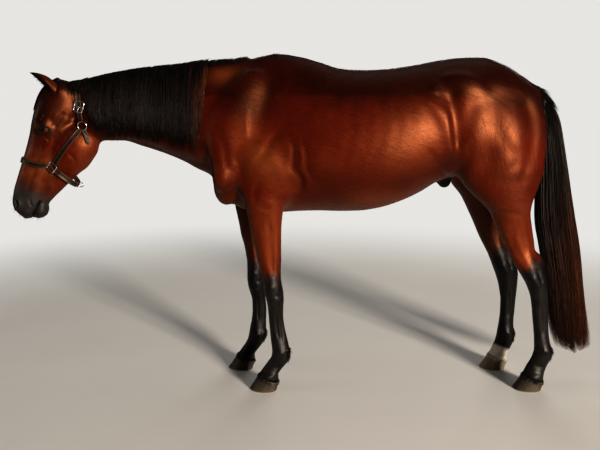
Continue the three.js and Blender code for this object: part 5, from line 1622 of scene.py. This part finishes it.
def fringe(name, roots, normals, ways, lengths, thickest, rise, values, hair=tuft_hair, slot="bay_coat"):
    """Short hairs rooted in the skin that rise off it and bend the way the coat lies."""
    rings = 4
    t = np.linspace(0, 1, rings)[None, :, None]
    along = lengths[:, None, None]
    paths = ((roots - normals)[:, None] + ways[:, None] * along * t
             + normals[:, None] * along * rise * np.sin(t * math.pi / 2))
    strand_mesh(name, paths, tapered(rings, 0.8, thickest, 0.15),
                np.broadcast_to(normals[:, None], paths.shape), values, hair, slot)


def skin_hairs(name, count, density, length, thick, rise, way=None, spread=0.2):
    """A fringe rooted wherever the density says, along the coat or along a way of its own."""
    roots, normal, ways, values = scatter(count, density)
    ways = comb(ways if way is None else np.tile(unit(way), (count, 1)), normal, spread)
    values["own"] = random.random(count)
    fringe(name, roots, normal, ways, random.uniform(*length, count), random.uniform(*thick, count), rise,
           values)


x, y, z = middle.T
coronet_band, fetlock_back = np.zeros(len(middle)), np.zeros(len(middle))
for name, loft in LEGS.items():
    front, bulb, height = coronet(name)
    mine = (y * loft.side > 20) & (np.abs(x - (front + bulb) / 2) < 95) & (z < 140)
    coronet_band[mine & (z - height(x) > -4) & (z - height(x) < 12)] = 1
    rear = loft.section(np.clip(z, *loft.ends))[:, 1]
    mine = (y * loft.side > 20) & (np.abs(z - 178) < 30) & (np.abs(x - rear) < 16)
    fetlock_back[mine] = 1
skin_hairs("coronet_hair", 3200, coronet_band, (13, 23), (0.8, 1.6), 0.30, (0.05, 0, -1), 0.16)
skin_hairs("fetlock_hair", 1000, fetlock_back, (12, 28), (0.8, 1.6), 0.20, (0.15, 0, -1), 0.2)
skin_hairs("dock_hair", 900, (x > 1112) & (z > 1320), (24, 70), (0.9, 2.0), 0.10, (0.45, 0, -0.9), 0.2)
skin_hairs("jaw_and_chin_hair", 900, at_head & (tri_front < -70) & (tri_down > 60) & (tri_down < 600)
           & (np.abs(y) < 34), (4, 9), (0.5, 1.0), 0.16)
skin_hairs("muzzle_whiskers", 110, at_head & (tri_down > 585) & (x > -1392), (3, 9), (0.45, 0.7), 2.2,
           spread=0.8)

# short hair that the mane leaves behind it over the withers, black first and then brown
near_top = below_top(middle) < 26 - 0.06 * (x + 428)
roots, normal, ways, _ = scatter(1700, (x > -428) & (x < -110) & near_top)
count = len(roots)
brown = smooth(-330, -180, roots[:, 0])
fringe("withers_fringe", roots, normal, comb(np.tile(unit([0.9, -0.25, -0.1]), (count, 1)), normal, 0.22),
       random.uniform(13, 27, count) * (1 - 0.3 * brown), random.uniform(0.8, 1.9, count), 0.30,
       {"own": random.random(count), "red": brown * 0.8, "reach": np.full(count, 0.1)},
       long_hair, "black_hair")

# small ragged tufts that stand up along the crest
count = 1100
root, _, _ = grouped(count, 120, MANE_POLL - 20, MANE_WITHERS - 6, 9)
lean = random.normal(0, 0.35, count)
up = np.tile([0.0, 0.0, 1.0], (count, 1))
roots = np.stack([root, random.uniform(-7, 7, count), CREST(np.maximum(root, MANE_POLL)) + 4], 1)
fringe("crest_tufts", roots, up, unit(np.stack([0.75 + 0 * lean, lean, 0 * lean], 1)),
       random.uniform(7, 15, count), random.uniform(1.0, 2.2, count), 0.5, some_red(count, 0.08, 0.5, 0.2),
       long_hair, "black_hair")

# the foremost mane falls over the crown strap, from behind the ears
count, rings = 620, 9
t = np.linspace(0, 1, rings)
start_x = -1074 + 84 * random.random(count) ** 0.6
turn_end = np.where(random.random(count) < 0.25, random.uniform(-0.5, -0.15, count),
                    random.uniform(0.55, 1.25, count))
turn = random.normal(0, 0.10, count)[:, None] + turn_end[:, None] * t
drift = random.normal(4, 7, count)[:, None] * t ** 1.5
place = np.stack([start_x[:, None] + drift, 0 * turn, np.full(turn.shape, 1366.0)], 2).reshape(-1, 3)
away = np.stack([0 * turn, -np.sin(turn), np.cos(turn)], 2).reshape(-1, 3)
lift = (9.5 + random.uniform(0, 6, (count, 1)) * np.ones(rings)) * (1 - 0.25 * t)
lift *= 0.2 + 0.8 * smooth(-1072, -1046, start_x)[:, None]
lift[:, 0] = -2
paths = smoothed((skin_from(place, away) + away * lift.reshape(-1, 1)).reshape(count, rings, 3))
strand_mesh("poll_hair", paths, tapered(rings, 0.6, random.uniform(1.2, 2.8, count), 0.14),
            away.reshape(paths.shape), some_red(count, 0.08, 0.6, 0.3))

# ears: a soft fringe on the rim, longer hair inside
for word, side in SIDES.items():
    ear, start, level, is_inner, rim, axis = ear_parts[side]
    opening = ear[rim > 0.9].mean(0) - ear.mean(0)
    opening = unit(opening - axis * (opening @ axis))
    for kind, chosen, count, length, out in (
            ("inside", is_inner & (level > 0) & (level < 0.8) & (rim > 0.25), 420, (7, 17), 0.75),
            ("rim", (rim > 0.95) & (level > 0) & (level < 0.86), 380, (3, 7), 0.4)):
        pick = random.choice(np.flatnonzero(chosen), count)
        roots = ear[pick] + random.normal(0, 0.8, (count, 3))
        marks_here = {key: skin_marks[key][start + pick] for key in MARKS}
        marks_here["black"] = np.full(count, 0.8 if kind == "rim" else 0.45)
        fringe("ear_%s_%s_hair" % (kind, word), roots, np.tile(opening, (count, 1)),
               unit(axis + random.normal(0, 0.22, (count, 3))), random.uniform(*length, count),
               random.uniform(0.5, 1.1, count), out, {**marks_here, "own": random.random(count)})

# lashes: one fine curved row on each upper lid
for word, side in SIDES.items():
    gaze, long_way, up_way = eye_axes(side)
    count, rings = 46, 6
    a = random.uniform(-15, 15, count)
    b = upper_lid(a / SLIT_HALF) + random.uniform(0, 1.2, count)
    g = np.sqrt((EYE_RADIUS + 1.2) ** 2 - a ** 2 - b ** 2)
    t = np.linspace(0, 1, rings)
    length = random.uniform(9, 15, count)[:, None] * t
    fan = a[:, None] / 15 * 0.35 * length
    paths = EYES[side] + ((a[:, None] + fan)[..., None] * long_way
                          + (b[:, None] - 1.2 * np.sin(t * 2.2) + 0.35 * length * t)[..., None] * up_way
                          + (g[:, None] + 0.85 * length * (1 - 0.2 * t))[..., None] * gaze)
    strand_mesh("lashes_" + word, paths, tapered(rings, 1, np.full(count, 0.55), 0.2),
                np.broadcast_to(up_way, paths.shape), {"own": random.random(count), "red": np.zeros(count)})

# ---------------------------------------------------------------- hooves

horn, n, shader = material("hoof horn", Specular_IOR_Level=0.45, Specular_Tint=(1.0, 0.85, 0.7, 1))
level, spin = n.value("level"), n.value("spin")


def wide_and_tall(wide, tall):
    """A place for noise, from the level up the wall and the way round it."""
    sockets = {0: n.times(level, wide), 1: n.times(spin, tall), 2: 0.0}
    return n.add("ShaderNodeCombineXYZ", sockets).outputs[0]


rings = n.add("ShaderNodeTexWave", {"Vector": wide_and_tall(9.0, 1.2), "Scale": 0.9, "Distortion": 1.1,
                                    "Detail": 2.0, "Detail Scale": 0.6}).outputs["Fac"]
tubules = n.noise(wide_and_tall(0.8, 60.0), 1.0, 2.0)
tone = n.mix(n.range(level, 0.0, 0.9), (0.060, 0.047, 0.034), (0.020, 0.0155, 0.0125))
tone = n.mix(n.times(n.range(tubules, 0.45, 0.75), 0.5), tone, (0.105, 0.080, 0.056))
tone = n.mix(n.range(n.noise(n.here(), 30.0, 4.0), 0.5, 0.75, 0.0, 0.6), tone, (0.085, 0.062, 0.040))
tone = n.mix(n.range(level, 0.10, 0.03, 0.0, 0.8), tone, (0.16, 0.125, 0.085))
tone = n.mix(n.range(level, 0.90, 0.98, 0.0, 0.8), tone, (0.085, 0.068, 0.052))
pale_horn = n.mix(n.range(tubules, 0.4, 0.75), (0.34, 0.27, 0.185), (0.17, 0.125, 0.078))
n.plug(n.mix(n.times(n.value("pale"), 0.85), tone, pale_horn), shader["Base Color"])
n.plug(n.range(rings, 0.0, 1.0, 0.42, 0.62), shader["Roughness"])
n.plug(n.bump(n.plus(n.times(rings, 0.45), n.times(tubules, 0.35)), 0.0007), shader["Normal"])


def hoof_outline(nose, back, width, angles):
    """A hoof seen from above: round in front, squarer at the heels, with a notch between its bulbs."""
    forward = -np.cos(angles)
    middle = back - (back - nose) * 0.46
    reach = np.where(forward < 0, middle - nose, back - middle)
    x = middle + reach * np.sign(forward) * np.abs(forward) ** np.where(forward < 0, 1, 0.78)
    y = width * np.sign(np.sin(angles)) * np.abs(np.sin(angles)) ** np.where(forward < 0, 0.95, 0.8)
    notch = hill((angles - math.pi) / 0.16)
    return x - 7 * notch * (forward > 0), y


for name, (toe, heel, half) in HOOVES.items():
    out = LEGS[name].side * LEG_OUT
    front, bulb, height = coronet(name)
    around, rises = 64, np.concatenate([[0, 0.012], np.linspace(0.05, 0.93, 20), [0.965, 0.99, 1.0]])
    angles = 2 * math.pi * np.arange(around) / around
    low = hoof_outline(toe, heel, half, angles)
    high = hoof_outline(front, bulb, half * CORONET_SHARE, angles)
    mid_low, mid_high = np.array([(toe + heel) / 2, 0]), np.array([(front + bulb) / 2, 0])
    shell = []
    for rise in rises:
        x, y = low[0] + (high[0] - low[0]) * rise, low[1] + (high[1] - low[1]) * rise
        centre = mid_low + (mid_high - mid_low) * rise
        ripple = 0.9 - 1.2 * (rise < 0.005) + 0.35 * math.sin(rise * 34)
        ripple -= 1.2 * math.sin(math.pi * rise) ** 2
        ripple += -0.9 * smooth(0.93, 1.0, rise) + 0.8 * math.exp(-((rise - 0.93) / 0.03) ** 2)
        away = unit(np.stack([x - centre[0], y], 1)) * (ripple - 0.6)
        shell.append(np.stack([x + away[:, 0], out + y + away[:, 1], (height(high[0]) - 1.2) * rise], 1))
    # inside the wall: a flat sole that is a little hollow, and a closed top under the hair
    sole = [np.stack([low[0] + (mid_low[0] - low[0]) * s, out + low[1] * (1 - s), np.full(around, up)], 1)
            for s, up in ((0.14, 0.0), (0.17, 3.0), (0.55, 5.0))]
    top = np.stack([high[0] + (mid_high[0] - high[0]) * 0.5, out + high[1] * 0.5,
                    height(high[0]) - 1.2], 1)
    grid = np.array([*sole[::-1], *shell, top])
    places = np.vstack([grid.reshape(-1, 3), [mid_low[0], out, 5],
                        [mid_high[0], out, height(mid_high[0]) - 1.2]])
    levels = np.r_[np.zeros(3 * around), np.repeat(rises, around), np.ones(around), 0, 1]
    spins = np.r_[np.tile(np.abs(angles - math.pi), len(grid)), 0, 0]
    # the hoof under the white pastern is pale, with darker streaks running down it
    pale = (name == "hind_right") * (0.8 + 0.2 * np.sin(spins * 7))
    hoof = flat_mesh("hoof_" + name + "_wall", places, tube(len(grid), around, backwards=True),
                     {"level": levels, "spin": spins, "pale": pale})
    place_piece(hoof, horn, "hoof_horn", "hoof_" + name)

# ---------------------------------------------------------------- eyes

eye_glass, n, shader = material("eye", Roughness=0.06, Specular_IOR_Level=0.7)
seat = n.value("seat", "Vector")
a, b, _ = n.add("ShaderNodeSeparateXYZ", {0: seat}).outputs


def oval(long, tall):
    """Distance from the eye's middle, 1 on an oval."""
    parts = [n.math("POWER", n.math("DIVIDE", part, half), 2.0) for part, half in ((a, long), (b, tall))]
    return n.math("SQRT", n.plus(*parts))


from_middle, pupil = oval(0.68, 0.60), oval(0.40, 0.17)
fibres = n.noise(n.add("ShaderNodeVectorMath", {0: seat}, operation="NORMALIZE").outputs[0], 26.0, 4.0)
iris = n.mix(fibres, (0.022, 0.0085, 0.0035), (0.060, 0.024, 0.009))
iris = n.mix(n.range(pupil, 1.08, 0.94), iris, (0.0012, 0.0012, 0.0016))
veins = n.mix(n.range(n.noise(seat, 9.0, 5.0), 0.5, 0.8), (0.030, 0.016, 0.011), (0.11, 0.040, 0.028))
n.plug(n.mix(n.range(from_middle, 0.94, 1.06), iris, veins), shader["Base Color"])
n.plug(n.range(from_middle, 0.9, 1.2, 0.05, 0.22), shader["Roughness"])
n.plug(n.bump(n.noise(seat, 14.0, 2.0), 0.00006), shader["Normal"])

for word, side in SIDES.items():
    gaze, long_way, up_way = eye_axes(side)
    rows, around = 40, 48
    tilt = np.pi * (np.arange(1, rows)) / rows
    spin = 2 * np.pi * np.arange(around) / around
    ball = np.stack([np.outer(np.sin(tilt), np.cos(spin)).ravel(),
                     np.outer(np.sin(tilt), np.sin(spin)).ravel(), np.repeat(np.cos(tilt), around)], 1)
    ball = np.vstack([ball, [0, 0, 1], [0, 0, -1]])
    swell = 1 + 0.022 * smooth(0.66, 0.80, ball[:, 2])
    groups = tube(rows - 1, around, backwards=True)
    axes = np.stack([long_way, up_way, gaze])
    if np.linalg.det(axes) < 0:
        groups = turned_over(groups)
    places = EYES[side] + (ball * swell[:, None] * (EYE_RADIUS - 0.4)) @ axes
    eye = flat_mesh("eye_%s_ball" % word, places, groups, {"seat": ball})
    place_piece(eye, eye_glass, "eye_dark", "eye_" + word)

# ---------------------------------------------------------------- the halter

# Rubbed edges and grime, shared by leather and metal.
wear_group, n, gave, gives = node_group(
    "edge wear", [("Edge", "Float"), ("Place", "Vector"), ("Scale", "Float", 90.0), ("Amount", "Float", 0.5)],
    [("Wear", "Float"), ("Grime", "Float")])
broken = n.plus(gave["Edge"], n.math("SUBTRACT", n.noise(gave["Place"], gave["Scale"], 4.0), 0.5))
n.plug(n.times(n.range(broken, 0.55, 1.0), gave["Amount"]), gives["Wear"])
n.plug(n.range(n.noise(gave["Place"], n.times(gave["Scale"], 0.3), 3.0), 0.4, 0.75), gives["Grime"])

leather, n, shader = material("halter leather", Specular_IOR_Level=0.45, Specular_Tint=(1.0, 0.85, 0.7, 1))
place = n.here()
wear = use_group(n, wear_group, {"Edge": n.value("edge"), "Place": place, "Scale": 150.0, "Amount": 0.8})
pores = n.add("ShaderNodeTexVoronoi", {"Vector": place, "Scale": 900.0}, feature="F1").outputs["Distance"]
tone = n.mix(wear["Grime"], (0.013, 0.0062, 0.0042), (0.025, 0.0118, 0.0072))
tone = n.mix(wear["Wear"], tone, (0.080, 0.036, 0.020))
n.plug(tone, shader["Base Color"])
n.plug(n.range(wear["Grime"], 0.0, 1.0, 0.42, 0.66), shader["Roughness"])
grain = n.plus(n.range(pores, 0.0, 0.5), n.times(wear["Grime"], 0.4))
n.plug(n.bump(grain, 0.0002, 0.6), shader["Normal"])

thread, n, shader = material("waxed thread", Roughness=0.6)
twist = n.add("ShaderNodeTexWave", {"Vector": n.here(), "Scale": 700.0, "Distortion": 1.0}).outputs["Fac"]
n.plug(n.mix(twist, (0.10, 0.055, 0.030), (0.20, 0.125, 0.075)), shader["Base Color"])
n.plug(n.bump(twist, 0.0002), shader["Normal"])

steel, n, shader = material("nickelled steel", Metallic=1.0)
place = n.here()
wear = use_group(n, wear_group, {"Place": place, "Scale": 220.0})
scratch = n.noise(n.stretch(place, (300, 300, 4000), (0.4, 0.2, 0.1)), 1.0, 3.0)
n.plug(n.mix(wear["Grime"], (0.70, 0.69, 0.66), (0.42, 0.38, 0.33)), shader["Base Color"])
n.plug(n.range(n.plus(wear["Grime"], n.times(scratch, 0.4)), 0.2, 1.2, 0.16, 0.42), shader["Roughness"])
n.plug(n.bump(scratch, 0.00012, 0.5), shader["Normal"])

STRAP_WIDTH, STRAP_THICK, STRAP_LIFT = 25, 4, 3
STITCH_INSET = 4.2
WIRE, WIRE_LIFT, BAR, TONGUE = 3.2, 4, 2.2, 1.9
RING_HALF, BUCKLE_HALF, RING_POINTS = 21, 25, 72
SIDE_RING, CHEEK_RING, BUCKLE, CROWN_TOP = (382, -58), (152, -136), (74, -97), (-26, -46)
stitch_rows = []


def outward_at(places):
    return unit(slope_of(BODY.field, np.atleast_2d(places), 1.0))


def on_side(side, down, front):
    down, front = np.broadcast_arrays(np.atleast_1d(np.asarray(down, float)), np.asarray(front, float))
    starts = np.array([in_head(d, f) for d, f in zip(down, front)])
    return skin_from(starts, (0, side, 0), 400)


def strap_mesh(name, places, node, width=STRAP_WIDTH, lift=STRAP_LIFT, outward=None, tip=False):
    """A flat strap with rounded edges along places on the coat, and its rows of stitches."""
    places = smoothed(places[None], 3)[0]
    up = outward_at(places) if outward is None else outward
    up = smoothed(up[None], 6)[0]
    forward = unit(np.gradient(places, axis=0))
    beside = unit(np.cross(forward, up))
    up = np.cross(beside, forward)
    half, thick, edge, seam = width / 2, STRAP_THICK - 0.5, 1.3, width / 2 - STITCH_INSET
    profile = [(-half + edge, 0.1), (-half, edge), (-half, thick - edge), (-half + edge, thick),
               (-half + 3.2, thick + 0.15), (-seam, thick - 0.35), (0, thick + 0.2), (seam, thick - 0.35),
               (half - 3.2, thick + 0.15), (half - edge, thick), (half, thick - edge), (half, edge),
               (half - edge, 0.1)]
    near_edge = [1, 1, 1, 1, 0.5, 0.1, 0, 0.1, 0.5, 1, 1, 1, 1]
    slim = np.ones(len(places))
    if tip:
        run = np.cumsum(np.r_[0, np.linalg.norm(np.diff(places, axis=0), axis=1)])
        slim = np.clip((run[-1] - run) / 9, 0.06, 1) ** 0.6
    points = np.array([[place + side * s * slim_by + top * (h + lift) for s, h in profile]
                       for place, side, top, slim_by in zip(places, beside, up, slim)])
    flat = np.vstack([points.reshape(-1, 3), points[0].mean(0), points[-1].mean(0)])
    strap = flat_mesh(name, flat, tube(*points.shape[:2]),
                      {"edge": np.r_[np.tile(near_edge, len(places)), 0.5, 0.5]})
    place_piece(strap, leather, "halter_leather", node)
    for sign in (-1, 1):
        stitch_rows.append(places + beside * sign * seam * slim[:, None] + up * (lift + thick - 0.3))


def ring_frame(place, turn):
    up = outward_at(place)[0]
    down = unit(ALONG_3 - up * (ALONG_3 @ up))
    across = np.cross(up, down)
    one = down * math.cos(turn) + across * math.sin(turn)
    return up, one, across * math.cos(turn) - down * math.sin(turn)


def ring_places(place, long, wide, turn, square):
    up, one, other = ring_frame(place, turn)
    angles = 2 * math.pi * (np.arange(RING_POINTS) + 0.5) / RING_POINTS
    a = long * np.sign(np.cos(angles)) * np.abs(np.cos(angles)) ** (2 / square)
    b = wide * np.sign(np.sin(angles)) * np.abs(np.sin(angles)) ** (2 / square)
    path = place + a[:, None] * one + b[:, None] * other
    rise = (WIRE_LIFT + WIRE - BODY.field(path)).max()
    return path, up, rise


def wire_mesh(name, path, ups, radius, *nodes, closed=True):
    """Round metal wire bent along a path."""
    around = np.roll(path, -1, 0) - np.roll(path, 1, 0)
    forward = unit(around if closed else np.gradient(path, axis=0))
    beside = unit(np.cross(forward, ups))
    sides = 12
    spin = 2 * math.pi * np.arange(sides) / sides
    points = (path[:, None] + beside[:, None] * (radius * np.cos(spin))[:, None]
              + np.broadcast_to(ups, path.shape)[:, None] * (radius * np.sin(spin))[:, None])
    points = points.reshape(-1, 3)
    if closed:
        index = np.arange(len(points)).reshape(-1, sides)
        ring = np.stack([index, np.roll(index, -1, 1)], -1)
        groups = [np.concatenate([ring, np.roll(ring, -1, 0)[..., ::-1]], -1).reshape(-1, 4)]
    else:
        ends = [path[0] - forward[0] * radius * 0.5, path[-1] + forward[-1] * radius * 0.5]
        groups, points = tube(len(path), sides), np.vstack([points, *ends])
    piece = flat_mesh(name, points, facing_out(points, groups, path[:2].mean(0)))
    place_piece(piece, steel, "halter_steel", *nodes)


for word, side in SIDES.items():
    for kind, spot, turn, square in (("side", SIDE_RING, 0.45 * side, 4.5), ("cheek", CHEEK_RING, 0, 2)):
        ring = "halter_%s_ring_%s" % (kind, word)
        place = on_side(side, *spot)[0]
        path, up, rise = ring_places(place, RING_HALF, RING_HALF, turn, square)
        wire_mesh(ring + "_wire", path + up * rise, up, WIRE, ring)
        if kind == "side":
            up, one, other = ring_frame(place, turn)
            bar = np.linspace(-1, 1, 9)[:, None] * other * 20 + place + up * rise + one * 2
            wire_mesh("halter_side_bar_" + word, bar, up, 2.4, closed=False)
    t = np.linspace(0, 1, 40)
    strap_mesh("halter_cheek_strap_" + word,
               on_side(side, CHEEK_RING[0] + 25 + (SIDE_RING[0] - CHEEK_RING[0] - 50) * t,
                       CHEEK_RING[1] + 8 + (SIDE_RING[1] - CHEEK_RING[1] - 16) * t), "halter_cheek_" + word)

place = on_side(LEFT, *BUCKLE)[0]
path, up, rise = ring_places(place, BUCKLE_HALF, RING_HALF, 0.1, 4.5)
wire_mesh("halter_buckle_frame", path + up * rise, up, WIRE, "halter_buckle")
up, one, other = ring_frame(place, 0.1)
t = np.linspace(-1, 1, 9)[:, None]
wire_mesh("halter_buckle_bar", place + up * rise + t * other * 20, up, BAR, closed=False)
t = np.linspace(0, 1, 12)[:, None]
wire_mesh("halter_buckle_tongue", place + up * (rise + BAR + 2.0 * np.sin(math.pi * t)) + one * 27 * t, up,
          TONGUE, closed=False)

SIDEWAYS = np.array([0, 1.0, 0])
NOSE_DOWN, NOSE_TURN, CROWN_TURN = 404, 112, 141
angles = np.radians(np.linspace(-NOSE_TURN, NOSE_TURN, 120))
level = NOSE_DOWN - 20 * (np.abs(angles) / math.radians(NOSE_TURN)) ** 2
centres = np.array([in_head(d, 0) for d in level])
toward = FRONT_3 * np.cos(angles)[:, None] + SIDEWAYS * np.sin(angles)[:, None]
strap_mesh("halter_noseband_strap", skin_from(centres, toward, 400), "halter_noseband")
angles = np.radians(np.linspace(-CROWN_TURN, CROWN_TURN, 150))
centre, crown = in_head(72, -92), in_head(*CROWN_TOP)
toward = unit(crown - centre) * np.cos(angles)[:, None] + SIDEWAYS * np.sin(angles)[:, None]
strap_mesh("halter_crown_strap", skin_from(centre, toward, 400), "halter_crown")
t = np.linspace(0, 1, 34)
strap_mesh("halter_hanging_end", on_side(LEFT, CHEEK_RING[0] + 12 + 62 * t, CHEEK_RING[1] - 7 - 41 * t),
           "halter_strap_end", width=20, tip=True, lift=5)
# the chin strap leaves the square rings and hangs behind the jaw, with a small ring at its lowest place
angles = np.radians(np.linspace(12, 168, 70))
drop = np.sin(angles)
loop = np.array([in_head(390 + 44 * d, -74 - 104 * d, -68 * math.cos(a)) for d, a in zip(drop, angles)])
share = np.linspace(0, 1, 14)[:-1]
leads = []
for side in (LEFT, RIGHT):
    lead = on_side(side, SIDE_RING[0] + 5 + 12 * share, SIDE_RING[1] - 14 - 22 * share)
    lead[:, 1] = (lead[:, 1] + side * 4) * (1 - share) + side * 66.5 * share
    leads.append(lead)
places = np.vstack([leads[0], loop, leads[1][::-1]])
strap_mesh("halter_chin_strap", places, "halter_chin", lift=0, outward=unit(places - in_head(NOSE_DOWN, -70)))
spin = np.linspace(0, 2 * math.pi, 40, endpoint=False)[:, None]
wire_mesh("halter_chin_ring", in_head(430, -192) + 10 * (np.cos(spin) * ALONG_3 + np.sin(spin) * FRONT_3),
          SIDEWAYS, TONGUE)

# One small stitch, set along every row by a node tree.
STITCH = {"Spacing": 0.0042, "Length": 0.0027, "Thread": 0.0005}
tree = bpy.data.node_groups.new("stitch rows", "GeometryNodeTree")
tree.is_modifier = True
for label, way, kind in (("Rows", "INPUT", "Geometry"), *((label, "INPUT", "Float") for label in STITCH),
                         ("Finish", "INPUT", "Material"), ("Stitches", "OUTPUT", "Geometry")):
    tree.interface.new_socket(name=label, in_out=way, socket_type="NodeSocket" + kind)
n = Nodes(tree)
given, out = tree.nodes.new("NodeGroupInput").outputs, tree.nodes.new("NodeGroupOutput").inputs
spots = n.add("GeometryNodeCurveToPoints", {"Curve": given["Rows"], "Length": given["Spacing"]},
              mode="LENGTH").outputs
stitch = n.add("GeometryNodeMeshCylinder",
               {"Vertices": 6, "Radius": given["Thread"], "Depth": given["Length"]}).outputs["Mesh"]
turn = n.add("FunctionNodeAlignRotationToVector", {"Vector": spots["Tangent"]}, axis="Z").outputs["Rotation"]
copies = n.add("GeometryNodeInstanceOnPoints", {"Points": spots["Points"], "Instance": stitch,
                                                "Rotation": turn}).outputs["Instances"]
real = n.add("GeometryNodeRealizeInstances", {"Geometry": copies}).outputs["Geometry"]
painted = n.add("GeometryNodeSetMaterial", {"Geometry": real, "Material": given["Finish"]})
n.plug(painted.outputs["Geometry"], out["Stitches"])

curve_data = bpy.data.curves.new("stitch lines", "CURVE")
curve_data.dimensions = "3D"
for places in stitch_rows:
    spline = curve_data.splines.new("POLY")
    spline.points.add(len(places) - 1)
    spline.points.foreach_set("co", np.c_[(places + SHIFT) * MM, np.ones(len(places))].ravel())
lines = bpy.data.objects.new("stitch lines", curve_data)
bpy.context.collection.objects.link(lines)
modifier = lines.modifiers.new("stitches", "NODES")
modifier.node_group = tree
names = {item.name: item.identifier for item in tree.interface.items_tree if item.in_out == "INPUT"}
for label, value in {**STITCH, "Finish": thread}.items():
    modifier[names[label]] = value
bpy.context.view_layer.update()
sewn = bpy.data.meshes.new_from_object(lines.evaluated_get(bpy.context.evaluated_depsgraph_get()))
bpy.data.objects.remove(lines)
stitches = bpy.data.objects.new("halter_stitches", sewn)
bpy.context.collection.objects.link(stitches)
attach(stitches, "root")

# ---------------------------------------------------------------- the floor, and the end

FLOOR_HALF, FLOOR_NEAR, FLOOR_FAR = 60, 1.9, 4.9
square = np.array([[-1, -1, 0], [1, -1, 0], [1, 1, 0], [-1, 1, 0]])
floor = flat_mesh("floor", square * FLOOR_HALF / MM - SHIFT, [np.array([[0, 1, 2, 3]])], soft=False)
# The pale floor melts into the backdrop far from the horse, and only as the camera sees it.
floor_paint, n, shader = material("pale floor", Roughness=0.9, Specular_IOR_Level=0.0,
                                  Emission_Color=(*BACKDROP, 1))
place = n.here()
distance = n.add("ShaderNodeVectorMath", {0: place}, operation="LENGTH").outputs["Value"]
far = n.range(distance, FLOOR_NEAR, FLOOR_FAR)
near_tone = n.mix(n.noise(place, 2.0, 3.0), (0.74, 0.73, 0.71), (0.80, 0.79, 0.77))
n.plug(n.mix(far, near_tone, (0.0, 0.0, 0.0)), shader["Base Color"])
as_seen = n.add("ShaderNodeLightPath").outputs["Is Camera Ray"]
n.plug(n.times(n.times(far, BACKDROP_LEVEL), as_seen), shader["Emission Strength"])
floor.data.materials.append(floor_paint)
